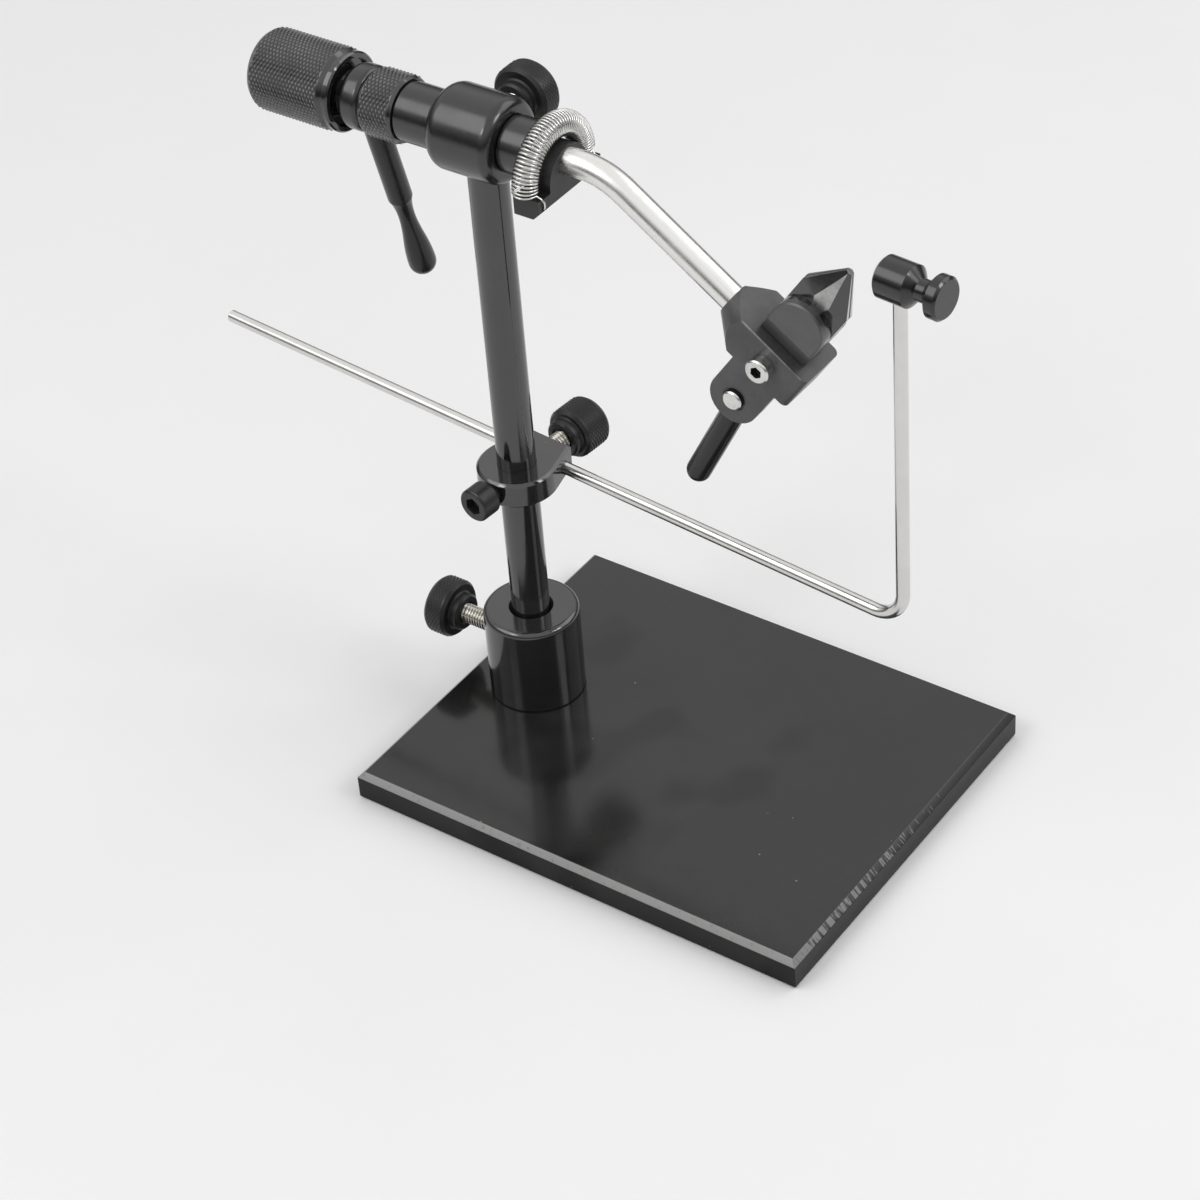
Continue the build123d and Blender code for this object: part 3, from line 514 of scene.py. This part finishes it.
def knurl_grip(bm, radius, low, high, steps, rows, depth):
    """Presses a diamond knurl into a grip of quads: every other crossing is pushed in."""
    row_height = (high - low) / rows
    crest = bm.verts.layers.float.new("crest")
    crossings = set()
    for vert in bm.verts:
        inside = low - grip_slack < vert.co.z < high + grip_slack
        if inside and abs(hypot(vert.co.x, vert.co.y) - radius) < grip_slack:
            crossings.add(vert)
    faces = [face for face in bm.faces if all(vert in crossings for vert in face.verts)]
    for vert in crossings:
        step = round(atan2(vert.co.y, vert.co.x) / tau * steps) % steps
        row = round((vert.co.z - low) / row_height)
        if (step + row) % 2 or row in (0, rows):
            share = (radius - depth) / radius
            vert.co.x *= share
            vert.co.y *= share
        else:
            vert[crest] = 1.0
    bmesh.ops.triangulate(bm, faces=faces, quad_method="SHORT_EDGE")


def make_grip_black(name, crest_colour, roughness, gloss_ior):
    """Black over a knurl, its crests rubbed to a dull grey, which on the shaft grips also paints the
    highlights on the crests.
    """
    material, tree, shader, place = new_finish(name)
    shader.inputs["IOR"].default_value = gloss_ior
    crest = put(tree, "ShaderNodeAttribute", attribute_name="crest").outputs["Fac"]
    patches = clouds(tree, place, 150.0, crest_shares)
    rub_and_glint = math(tree, "MULTIPLY", ramp(tree, crest, crest_cut), patches)
    black = blend(tree, clouds(tree, place, scale=220.0), grip_black, grip_pale)
    feed(tree, shader, {
        "Base Color": blend(tree, rub_and_glint, black, crest_colour),
        "Roughness": clouds(tree, place, 260.0, roughness),
        "Metallic": math(tree, "MULTIPLY", rub_and_glint, crest_metal_share),
    })
    grain = noise(tree, place, scale=3000.0, detail=3.0)
    bump(tree, shader, grain, grip_grain_height, grip_grain_strength)
    return material


thumb_black = make_grip_black("thumb knob black", thumb_crest, (0.34, 0.50), lacquer_ior)


def thumbscrew(knob, stud, seat, out):
    """One knob on its stud. The seat is a point of the screw's axis, and out points along it."""
    place = frame_along(seat, out)
    inward = place.inverted()
    corners = [inward @ Vector(corner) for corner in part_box(knob)]
    low = min(corner.z for corner in corners)
    high = max(corner.z for corner in corners)
    radius = max(abs(corner.x) for corner in corners)
    face = low + thumb_shoulder_length
    grip_low = face + thumb_chamfer
    grip_high = high - thumb_chamfer
    steps = 2 * round(pi * radius / thumb_pitch)
    rows = 2 * round((grip_high - grip_low) / thumb_pitch)
    outline = [
        (0.0, low + thumb_chamfer),
        (stud_radius + stud_gap, low + stud_lead_depth),
        (stud_radius + stud_lead, low),
        (thumb_shoulder_radius - shoulder_chamfer, low),
        (thumb_shoulder_radius, low + shoulder_chamfer),
        (thumb_shoulder_radius, face - shoulder_root),
        (thumb_shoulder_radius + shoulder_root, face),
        (radius - thumb_chamfer, face),
    ]
    outline += grip_rows(radius, grip_low, grip_high, rows)
    outline += [
        (radius - thumb_chamfer, high),
        (thumb_dish_radius, high),
        (thumb_dish_radius - thumb_dish_depth, high - thumb_dish_depth),
        (0.0, high - thumb_dish_depth),
    ]
    bm = bmesh.new()
    close_profile(bm, outline, steps)
    knurl_grip(bm, radius, grip_low, grip_high, steps, rows, thumb_knurl_depth)
    bmesh.ops.transform(bm, matrix=place, verts=bm.verts)
    make_piece(bm, knob, thumb_black, crease=grip_crease)
    ends = [(inward @ Vector(corner)).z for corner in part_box(stud)]
    bm = threaded_rod(stud_radius, stud_pitch, thread_depth, min(ends), max(ends))
    bmesh.ops.transform(bm, matrix=place, verts=bm.verts)
    make_piece(bm, stud, zinc_plate, crease=thread_crease)


def joint_axis(name):
    """A joint's point and direction, in the part's frame."""
    joint = next(item for item in frame["joints"] if item["name"] == name)
    return Vector(joint["pos_m"]), Vector(joint["axis"]).normalized()


for clamp in ("socket", "drag", "cradle"):
    thumbscrew(clamp + "_thumb_knob", clamp + "_stud", *joint_axis(clamp + "_knob_turn"))

# Head housing and its bearings
# A turned barrel pressed on the top of the stem, with rounded shoulders and a bronze bush at each end.
# The drag screw's nylon pad bears on the shaft between the bushes.
housing_edge = 0.12 * mm
bush_edge = 0.1 * mm
head_ior = 1.66
across_marks = (2600.0, 12.0, 12.0)
bronze_brown = (0.48, 0.33, 0.17, 1.0)
bronze_grain = (1800.0, 40.0, 40.0)
nylon_pale = (0.80, 0.78, 0.72, 1.0)
nylon_dull = (0.70, 0.68, 0.62, 1.0)
nylon_roughness = (0.4, 0.55)


def make_nylon():
    """Undyed nylon, a little dulled in patches."""
    material, tree, shader, place = new_finish("pad nylon")
    feed(tree, shader, {
        "Base Color": blend(tree, clouds(tree, place, scale=400.0), nylon_pale, nylon_dull),
        "Roughness": clouds(tree, place, 500.0, nylon_roughness),
    })
    return material


across_black = make_turned_black("head gloss black", across_marks, (0.14, 0.26), head_ior)
dress("head_housing", across_black, housing_edge)
bronze = make_plated_steel("oiled bronze", bronze_brown, (0.30, 0.45), bronze_grain)
for bush in ("front_bush", "rear_bush"):
    dress(bush, bronze, bush_edge)
dress("drag_pad", make_nylon(), bush_edge)

# Rotary shaft and sleeve
# The shaft turns in the bushes: its flange closes the front of the housing, and a plain sleeve
# spaces the parts on its tail from the back. Both are gloss black.
shaft_edge = 0.12 * mm
dress("rotary_shaft", across_black, shaft_edge)
dress("rear_sleeve", across_black, shaft_edge)

# Lock ring and rear knob
# Two turned grips with a diamond knurl, black over the knurl, the crests pale grey: rubbed wear and a
# painted highlight. The large knob turns the head by hand and has a groove, a plain land in polished
# black, and a recess towards the crank hub.
grip_pitch = 1.0 * mm
knurl_depth = 0.30 * mm
ring_chamfer = 0.7 * mm
tail_radius = 4.5 * mm
knob_chamfer = 1.0 * mm
knob_land = 3.0 * mm
groove_depth = 1.0 * mm
groove_width = 0.6 * mm
land_step = 0.4 * mm
knob_recess_radius = 8.1 * mm
knob_recess_depth = 1.2 * mm
# The crests' pale grey is rubbed wear and a painted highlight.
knurl_crest_wear_and_glint = (0.34, 0.34, 0.337, 1.0)
knurl_black = make_grip_black("knurled black", knurl_crest_wear_and_glint, (0.22, 0.34), black_steel_ior)
turned_edge = make_turned_black("turned edge black", across_marks, roughness=(0.06, 0.12))
axis_height = joint_axis("head_rotation")[0].z
shaft_frame = frame_along(Vector((0.0, 0.0, axis_height)), Vector((1.0, 0.0, 0.0)))


def along_shaft(node):
    """A piece's rear and front ends and its radius, on the rotary axis."""
    low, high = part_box(node)
    return low.x, high.x, (high.y - low.y) / 2


def shaft_grip(node, radius, low, high, behind, ahead, polish_behind):
    """A grip on the shaft, knurled from low to high. The outline runs on behind it and ahead of it."""
    steps = 2 * round(pi * radius / grip_pitch)
    rows = 2 * round((high - low) / grip_pitch)
    bm = bmesh.new()
    close_profile(bm, behind + grip_rows(radius, low, high, rows) + ahead, steps)
    knurl_grip(bm, radius, low, high, steps, rows, knurl_depth)
    for face in bm.faces:
        along = face.calc_center_median().z
        if along > high or polish_behind and along < low:
            face.material_index = 1
    bmesh.ops.transform(bm, matrix=shaft_frame, verts=bm.verts)
    make_piece(bm, node, knurl_black, turned_edge, crease=grip_crease)


ring_rear, ring_front, ring_radius = along_shaft("lock_ring")
ring_low = ring_rear + ring_chamfer
ring_high = ring_front - ring_chamfer
ring_behind = [(tail_radius, ring_rear), (ring_radius - ring_chamfer, ring_rear)]
ring_ahead = [
    (ring_radius - ring_chamfer, ring_front),
    (tail_radius, ring_front),
    (tail_radius, ring_rear),
]
shaft_grip("lock_ring", ring_radius, ring_low, ring_high, ring_behind, ring_ahead, polish_behind=True)

knob_rear, knob_front, knob_radius = along_shaft("rear_knob")
knob_low = knob_rear + knob_chamfer
knob_high = knob_front - knob_land
groove_low = knob_high + groove_depth
knob_behind = [(0.0, knob_rear), (knob_radius - knob_chamfer, knob_rear)]
knob_ahead = [
    (knob_radius - groove_depth, groove_low),
    (knob_radius - groove_depth, groove_low + groove_width),
    (knob_radius - land_step, groove_low + groove_width),
    (knob_radius - land_step, knob_front - land_step),
    (knob_radius - 2 * land_step, knob_front),
    (knob_recess_radius, knob_front),
    (knob_recess_radius, knob_front - knob_recess_depth),
    (0.0, knob_front - knob_recess_depth),
]
shaft_grip("rear_knob", knob_radius, knob_low, knob_high, knob_behind, knob_ahead, polish_behind=False)

# Crank hub and lever
# The hub is a rounded ring on the shaft, and the lever is a turned handle screwed into its rim,
# with a waist and a bulb for the fingertips. The lever's black is softer than the barrel's.
hub_edge = 0.15 * mm
lever_edge = 0.12 * mm
handle_depth = 0.008
paler_share = 1.5
cool_share = 1.04
rubbed_grey = (0.34, 0.34, 0.33, 1.0)
satin_grain_height = 0.008 * mm
satin_grain_strength = 0.35


def make_satin_black(name, depth, roughness, wear, gloss_ior):
    """Satin black of a given depth on machined steel, rubbed grey along its edges."""
    material, tree, shader, place = new_finish(name)
    shader.inputs["IOR"].default_value = gloss_ior
    edge = worn(tree, place, radius=0.3 * mm, breakup=600.0, amount=wear)
    paler = depth * paler_share
    deep_black = (depth, depth, depth * cool_share, 1.0)
    pale_black = (paler, paler, paler * cool_share, 1.0)
    black = blend(tree, clouds(tree, place, scale=130.0), deep_black, pale_black)
    feed(tree, shader, {
        "Base Color": blend(tree, edge, black, rubbed_grey),
        "Roughness": clouds(tree, place, 170.0, roughness),
        "Metallic": math(tree, "MULTIPLY", edge, edge_metal_share),
    })
    grain = noise(tree, place, scale=1800.0, detail=3.0)
    bump(tree, shader, grain, satin_grain_height, satin_grain_strength)
    return material


dress("crank_hub", across_black, hub_edge)
handle_black = make_satin_black("handle black", handle_depth, (0.18, 0.28), 0.15, lacquer_ior)
dress("crank_lever", handle_black, lever_edge)

# Spine rod
# A stainless rod, bent once, from the shaft's bore down to the jaw holder.
# Its drawn finish has long streaks and small dents.
spine_edge = 0.15 * mm
stainless_pale = (0.88, 0.87, 0.85, 1.0)
stainless_dull = (0.70, 0.69, 0.67, 1.0)
stainless_roughness = (0.20, 0.32)
spine_turn = (0.0, radians(-35.0), 0.0)
spine_streaks = (30.0, 1500.0, 1500.0)
dent_share = 1.5
streak_height = 0.02 * mm
streak_strength = 0.22


def make_drawn_stainless():
    """Stainless steel with streaks along the rod's slope and small dents."""
    material, tree, shader, place = new_finish("drawn stainless")
    shader.inputs["Metallic"].default_value = 1.0
    drawn = stretch(tree, stretch(tree, place, turn=spine_turn), spine_streaks)
    streaks = noise(tree, drawn, scale=1.0, detail=4.0, roughness=0.7)
    dents = noise(tree, place, scale=420.0, detail=3.0)
    feed(tree, shader, {
        "Base Color": blend(tree, streaks, stainless_pale, stainless_dull),
        "Roughness": clouds(tree, place, 120.0, stainless_roughness),
    })
    relief = math(tree, "ADD", streaks, math(tree, "MULTIPLY", dents, dent_share))
    bump(tree, shader, relief, streak_height, streak_strength)
    return material


dress("spine_rod", make_drawn_stainless(), spine_edge)

# Clip block and material spring
# A black block on the spine carries a close-wound spring, bent over it in an arch. Each end of the
# wire runs down the block's front and hooks into a small hole.
clip_edge = 0.2 * mm
clip_depth = 0.014
coil_radius = 2.86 * mm
wire_radius = 0.25 * mm
curls = 46
points_per_curl = 18
hook_hole_inset = 1.7 * mm
hook_hole_rise = 2.3 * mm
hook_stand_off = 0.3 * mm
hook_bend = 0.6 * mm
hook_tail = 2.4 * mm
hook_top_drop = 1.6 * mm
hook_lean = Vector((0.25 * mm, 0.0, 0.1 * mm))
wire_crease = radians(60)
wire_grey = (0.77, 0.76, 0.74, 1.0)
# The clip black also paints shade on the lever pin's sides and inside the jaw screw's key socket.
clip_black_and_shade = make_satin_black("clip black and painted shade", clip_depth, (0.30, 0.45), 0.25, lacquer_ior)
dress("clip_block", clip_black_and_shade, clip_edge)

clip_low, clip_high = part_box("clip_block")
spring_low, spring_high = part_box("material_spring")
spring_radius = (spring_high.x - spring_low.x) / 2
arch_radius = spring_high.y - spring_radius
arch_x = spring_low.x + spring_radius
arch_height = spring_high.z - arch_radius - spring_radius


def arch_point(share):
    """Point of the wire at a share of the arch, from the near foot to the far one."""
    turn = pi * (1.0 - share)
    angle = tau * curls * share
    out = Vector((0.0, cos(turn), sin(turn)))
    centre = Vector((arch_x, 0.0, arch_height)) + out * arch_radius
    return centre + Vector((coil_radius * cos(angle), 0.0, 0.0)) + out * coil_radius * sin(angle)


def hook_points(side, coil_end):
    """The wire's straight end, from the hole in the block up to the coil."""
    hole_y = side * (clip_high.y - hook_hole_inset)
    front = clip_high.x + hook_stand_off
    hole_z = clip_low.z + hook_hole_rise
    bend = [
        Vector((front - hook_bend * (1 - sin(turn)), hole_y, hole_z + hook_bend * (1 - cos(turn))))
        for turn in (0.0, pi / 8, pi / 4, 3 * pi / 8, pi / 2)
    ]
    inside = Vector((front - hook_tail, hole_y, hole_z))
    top = Vector((front, hole_y, arch_height - hook_top_drop))
    return [inside] + bend + [top, top.lerp(coil_end, 0.5) + hook_lean]


total = curls * points_per_curl
coil = [arch_point(count / total) for count in range(total + 1)]
wire = hook_points(-1, coil[0]) + coil + hook_points(1, coil[-1])[::-1]
path = bpy.data.curves.new("spring wire", "CURVE")
path.dimensions = "3D"
path.bevel_depth = wire_radius
path.bevel_resolution = 2
path.use_fill_caps = True
spline = path.splines.new("POLY")
spline.points.add(len(wire) - 1)
for point, place in zip(spline.points, wire):
    point.co = (*place, 1.0)
wire_object = bpy.data.objects.new("spring wire", path)
bpy.context.scene.collection.objects.link(wire_object)
bpy.context.view_layer.update()
wire_mesh = bpy.data.meshes.new_from_object(wire_object)
bpy.data.objects.remove(wire_object)
spring = bmesh.new()
spring.from_mesh(wire_mesh)
bmesh.ops.remove_doubles(spring, verts=spring.verts, dist=weld)
bright_wire = make_plated_steel("bright wire", wire_grey, roughness=(0.14, 0.24), grain=3 * (700.0,))
make_piece(spring, "material_spring", bright_wire, crease=wire_crease)

# Jaw holder with its pin and screw
# A milled block in satin black: the spine's end is coned, the jaws sit in its slot and the cam lever in
# its fork. A thin pale metal strip along the bar's near top edge is a painted highlight.
# The bright pin carries the lever, its sides painted black as painted shade, and a bright socket screw
# holds the jaws, with painted shade inside its key socket.
holder_edge = 0.22 * mm
holder_depth = 0.058
holder_glint_width = 0.3 * mm
holder_slack = 0.01 * mm
pin_edge = 0.1 * mm
pin_proud = 1.4 * mm
pin_end_depth = 0.6 * mm
pin_side_shade_lean = 0.3
key_shade_reach = 1.6 * mm
key_shade_depth = 2.0 * mm
# Pale metal for the painted highlight along the holder's near top edge.
edge_glint_grey = (0.34, 0.34, 0.335, 1.0)
bolt_grey = (0.74, 0.74, 0.72, 1.0)
jaw_rise = radians(55.2)
jaw_along = Vector((cos(jaw_rise), 0.0, sin(jaw_rise)))
jaw_across = Vector((sin(jaw_rise), 0.0, -cos(jaw_rise)))
holder_black = make_satin_black("holder black", holder_depth, (0.28, 0.40), 0.6, lacquer_ior)
painted_edge_glint = make_plated_steel("painted edge glint", edge_glint_grey, (0.30, 0.42), grain=3 * (500.0,), dulling=0.4)
polished_steel = make_plated_steel("polished steel", bolt_grey, (0.14, 0.26), grain=3 * (800.0,))

# A thin strip along the near top edge of the bar takes a pale metal, a painted highlight along that edge.
holder = node_copy("jaw_holder")
near_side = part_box("jaw_holder")[0].y + holder_slack
bar_top = max(vert.co.dot(jaw_along) for vert in holder.verts) - holder_slack
top_edges = [
    edge for edge in holder.edges
    if all(vert.co.y < near_side and vert.co.dot(jaw_along) > bar_top for vert in edge.verts)
]
glint_faces = bmesh.ops.bevel(
    holder, geom=top_edges, offset=holder_glint_width, offset_type="OFFSET", segments=2, profile=0.5,
    affect="EDGES", clamp_overlap=False, material=-1,
)["faces"]
for face in glint_faces:
    face.material_index = 1
soften(holder, holder_edge)
make_piece(holder, "jaw_holder", holder_black, painted_edge_glint)

jaw_screw = node_copy("jaw_screw")
screw_low, screw_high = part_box("jaw_screw")
screw_axis = (screw_low + screw_high) / 2
# The faces inside the key socket take the clip black, painted shade in the recess.
for face in jaw_screw.faces:
    spread = max(hypot(vert.co.x - screw_axis.x, vert.co.z - screw_axis.z) for vert in face.verts)
    if spread < key_shade_reach and face.calc_center_median().y < screw_low.y + key_shade_depth:
        face.material_index = 1
soften(jaw_screw, pin_edge)
make_piece(jaw_screw, "jaw_screw", polished_steel, clip_black_and_shade)

pin = node_copy("lever_pin")
pin_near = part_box("lever_pin")[0].y + pin_end_depth
for vert in pin.verts:
    if vert.co.y < pin_near:
        vert.co.y -= pin_proud
# The pin's sides take the clip black, painted shade along a bright pin.
for face in pin.faces:
    if abs(face.normal.y) < pin_side_shade_lean:
        face.material_index = 1
soften(pin, pin_edge)
make_piece(pin, "lever_pin", polished_steel, clip_black_and_shade)

# Cam lever
# A round handle with a flat-sided hub, in satin black, that swings on the pin in the holder's fork.
# Its nose spreads the jaws' tails, so that the tips close.
dress("cam_lever", handle_black, lever_edge)

# Jaws
# Two hardened halves in black oxide with polished noses, held by the socket screw on which they rock.
# A flat is ground along each nose's ridge, in a pale grey that is bare steel and also paints the light it
# catches, and the thin flats at the nose's sides are ground bright.
jaw_edge = 0.08 * mm
jaw_crease = radians(9)
nose_low = 35.2 * mm
nose_fade = 1.0 * mm
polish_low = 27.9 * mm
polish_depth = 3.6 * mm
polish_fade = 0.1 * mm
polish_gloss = -0.26
split_shade = 0.2 * mm
land_depth = 0.45 * mm
land_slack = 0.003 * mm
rim_slack = 0.03 * mm
slope_low = 0.2
slope_high = 0.4
flat_cut = (0.70, 0.80)
jaw_streaks = (40.0, 1500.0, 1500.0)
polish_black = (0.010, 0.010, 0.0105, 1.0)
polish_pale = (0.024, 0.024, 0.0245, 1.0)
oxide_black = (0.040, 0.040, 0.0415, 1.0)
oxide_pale = (0.052, 0.052, 0.0535, 1.0)
oxide_roughness = (0.36, 0.44)
ground_steel = (0.55, 0.55, 0.54, 1.0)
# Pale grey of the ground land: bare steel, and painted light on the facet.
land_steel_and_light = (0.50, 0.50, 0.49, 1.0)
oxide_grain_height = 0.004 * mm
oxide_grain_strength = 0.3
pin_along = joint_axis("lever_swing")[0].dot(jaw_along)


def grind_land(bm):
    """Grinds a flat along the nose's ridge, from nothing at the tip to its full depth at the boss."""

    def lean(face):
        """How far a facet of the nose leans across the jaw, or zero for any other face."""
        middle = face.calc_center_bounds()
        on_nose = middle.dot(jaw_along) > pin_along + polish_low and abs(middle.y) < polish_depth
        slope = face.normal.dot(jaw_across)
        return slope if on_nose and slope_low < abs(slope) < slope_high else 0.0

    slopes = [face for face in bm.faces if lean(face)]
    ridge = []
    for edge in bm.edges:
        if edge.is_manifold and lean(edge.link_faces[0]) * lean(edge.link_faces[1]) < 0.0:
            ridge += edge.verts
    tip = max(ridge, key=lambda vert: vert.co.dot(jaw_along))
    boss_end = min(ridge, key=lambda vert: vert.co.dot(jaw_along))
    inward = Vector((0.0, -land_depth if tip.co.y > 0.0 else land_depth, 0.0))
    out = (boss_end.co + inward - tip.co).cross(jaw_across).normalized()
    if out.y * tip.co.y < 0.0:
        out.negate()
    cut = dict.fromkeys(part for face in slopes for part in (face, *face.edges, *face.verts))
    bmesh.ops.bisect_plane(bm, geom=list(cut), dist=land_slack, plane_co=tip.co, plane_no=out)
    bm.normal_update()
    waste = [
        face for face in bm.faces
        if lean(face) and (face.calc_center_median() - tip.co).dot(out) > land_slack
    ]
    bmesh.ops.delete(bm, geom=waste, context="FACES")
    rim = []
    onward = [tip]
    while onward:
        rim.append(onward[0])
        ahead = [edge.other_vert(rim[-1]) for edge in rim[-1].link_edges if edge.is_boundary]
        onward = [vert for vert in ahead if vert not in rim]
    level = [abs((vert.co - tip.co).dot(out)) < rim_slack for vert in rim]
    leaves = level.index(False) - 1
    returns = len(level) - level[::-1].index(False)
    bm.faces.new(rim[:leaves + 1] + rim[returns:]).material_index = 1
    bm.faces.new(rim[leaves:returns + 1])
    bmesh.ops.recalc_face_normals(bm, faces=bm.faces)


def make_jaw_oxide():
    """Black oxide, polished and streaked on the nose, with bare flats at the nose's sides."""
    material, tree, shader, place = new_finish("jaw oxide")
    shader.inputs["IOR"].default_value = black_steel_ior
    normal = put(tree, "ShaderNodeTexCoord").outputs["Normal"]
    sideways = math(tree, "ABSOLUTE", dot(tree, normal, tuple(jaw_across)))
    reach = dot(tree, place, tuple(jaw_along))
    spot = put(tree, "ShaderNodeSeparateXYZ", {"Vector": place}).outputs
    depth = math(tree, "ABSOLUTE", spot["Y"])
    nose_start = pin_along + nose_low
    polish_start = pin_along + polish_low
    nose = ramp(tree, reach, (nose_start, nose_start + nose_fade))
    polished = math(
        tree, "MULTIPLY",
        ramp(tree, reach, (polish_start, polish_start + polish_fade)),
        ramp(tree, depth, (polish_depth + polish_fade, polish_depth)),
    )
    flats = math(tree, "MULTIPLY", nose, ramp(tree, sideways, flat_cut))
    ground = math(tree, "MULTIPLY", flats, ramp(tree, depth, (split_shade, 2 * split_shade)))
    edge = worn(tree, place, radius=0.2 * mm, breakup=900.0, amount=0.12)
    bright = math(tree, "MAXIMUM", ground, edge)
    drawn = stretch(tree, stretch(tree, place, turn=(0.0, jaw_rise, 0.0)), jaw_streaks)
    streaks = noise(tree, drawn, scale=1.0, detail=4.0, roughness=0.7)
    polish = blend(tree, streaks, polish_black, polish_pale)
    oxide = blend(tree, clouds(tree, place, scale=180.0), oxide_black, oxide_pale)
    dark = blend(tree, polished, oxide, polish)
    gloss = math(tree, "MULTIPLY", polished, polish_gloss)
    feed(tree, shader, {
        "Base Color": blend(tree, bright, dark, ground_steel),
        "Roughness": math(tree, "ADD", clouds(tree, place, 240.0, oxide_roughness), gloss),
        "Metallic": bright,
    })
    grain = noise(tree, place, scale=2400.0, detail=3.0)
    bump(tree, shader, grain, oxide_grain_height, oxide_grain_strength)
    return material


jaw_oxide = make_jaw_oxide()
# The land's pale grey is ground steel, and it also paints the light that the facet catches.
ground_and_lit_land = make_plated_steel("ground land with painted light", land_steel_and_light, (0.22, 0.34), grain=3 * (300.0,), dulling=0.6)
for jaw in ("near_jaw", "far_jaw"):
    half = node_copy(jaw)
    grind_land(half)
    soften(half, jaw_edge)
    make_piece(half, jaw, jaw_oxide, ground_and_lit_land, crease=jaw_crease)

# Cradle collar and its lock screw
# A rounded block in gloss black that slides on the stem, held by a black socket screw from the near side.
# It carries the cradle rod and its thumbscrew.
collar_edge = 0.2 * mm
lock_edge = 0.15 * mm
dress("cradle_collar", upright_black, collar_edge)
dress("collar_lock_screw", clip_black_and_shade, lock_edge)

# Cradle rod and bobbin rest
# A long bright rod through the collar, bent up at the front. The rest on its end is a turned black
# spool with a waist, where the hanging thread is parked.
rod_edge = 0.1 * mm
rod_grey = (0.70, 0.69, 0.675, 1.0)
rest_edge = 0.15 * mm
rest_depth = 0.007
rest_ior = 1.62
bright_rod = make_plated_steel("bright rod", rod_grey, (0.15, 0.21), grain=3 * (60.0,), dulling=0.93)
dress("cradle_rod", bright_rod, rod_edge)
rest_black = make_satin_black("rest black", rest_depth, (0.13, 0.22), 0.2, rest_ior)
dress("bobbin_rest", rest_black, rest_edge)

# Floor
# A plain pale studio sheet that the plate stands on.
# It belongs to the stage, not to the object.
floor_reach = 3.0
paper_white = (0.95, 0.95, 0.95, 1.0)
paper_grey = (0.935, 0.935, 0.935, 1.0)
floor_bm = bmesh.new()
bmesh.ops.create_grid(floor_bm, x_segments=8, y_segments=8, size=floor_reach)
floor_mesh = bpy.data.meshes.new("studio_floor")
floor_bm.to_mesh(floor_mesh)
floor_bm.free()
floor = bpy.data.objects.new("studio_floor", floor_mesh)
bpy.context.scene.collection.objects.link(floor)
floor_paper, floor_tree, floor_shader, floor_place = new_finish("floor paper")
fibre = clouds(floor_tree, floor_place, scale=5.0)
feed(floor_tree, floor_shader, {"Base Color": blend(floor_tree, fibre, paper_white, paper_grey)})
floor_shader.inputs["Roughness"].default_value = 0.85
floor_mesh.materials.append(floor_paper)

# Studio light
# A white tent with dim lower walls, which the camera itself sees as one plain grey. A broad soft box
# lights the left, another the back, and two small ones give the thin bright lines on rims and shoulders.
room_light = 0.64
room_seen = 1.0
wall_share = 0.12
wall_rise = (0.12, 0.55)
wall_shown = 0.60
world = bpy.data.worlds.new("white room")
bpy.context.scene.world = world
world.use_nodes = True
room = world.node_tree
sight = put(room, "ShaderNodeLightPath").outputs
background = room.nodes["Background"]
background.inputs["Color"].default_value = (1.0, 1.0, 1.0, 1.0)
looking = put(room, "ShaderNodeTexCoord").outputs["Generated"]
upward = put(room, "ShaderNodeSeparateXYZ", {"Vector": looking}).outputs["Z"]
level = math(
    room, "MULTIPLY",
    ramp(room, upward, wall_rise, (wall_share, 1.0)),
    ramp(room, sight["Is Glossy Ray"], results=(room_light, room_seen)),
)
shown = ramp(room, sight["Is Camera Ray"], results=(level, wall_shown))
room.links.new(shown, background.inputs["Strength"])
soft_boxes = {
    "key_box": {"stand": (-0.58, -0.66, 1.0), "width": 0.75, "power": 3.2},
    "front_box": {"stand": (-0.23, -0.90, 0.95), "width": 0.3, "power": 1.5},
    "right_box": {"stand": (0.95, 0.17, 0.87), "width": 0.35, "power": 2.4},
    "back_box": {"stand": (0.65, 0.85, 0.9), "width": 0.9, "power": 3.0},
}
aim = Vector((0.03, 0.0, 0.09))
for label, box in soft_boxes.items():
    lamp = bpy.data.lights.new(label, "AREA")
    lamp.shape = "SQUARE"
    lamp.size = box["width"]
    lamp.energy = box["power"]
    stand = bpy.data.objects.new(label, lamp)
    stand.location = box["stand"]
    stand.rotation_euler = (aim - Vector(box["stand"])).to_track_quat("-Z", "Y").to_euler()
    bpy.context.scene.collection.objects.link(stand)

# Camera
# Where the photograph was taken from: a long lens, above and in front of the jaws.
# The view transform is plain, so that colours come out as they are written.
camera_right = Vector((0.81923, 0.56983, -0.06445))
camera_up = Vector((-0.31886, 0.54603, 0.77472))
camera_back = Vector((0.47665, -0.61412, 0.62902))
camera_spot = Vector((409.45, -499.63, 555.20)) * mm
lens = bpy.data.cameras.new("photo camera")
lens.sensor_width = 36.0
lens.lens = 100.66
camera = bpy.data.objects.new("photo camera", lens)
camera_turn = Matrix((camera_right, camera_up, camera_back)).transposed().to_4x4()
camera.matrix_world = Matrix.Translation(camera_spot) @ camera_turn
bpy.context.scene.collection.objects.link(camera)
bpy.context.scene.camera = camera
bpy.context.scene.view_settings.view_transform = "Standard"
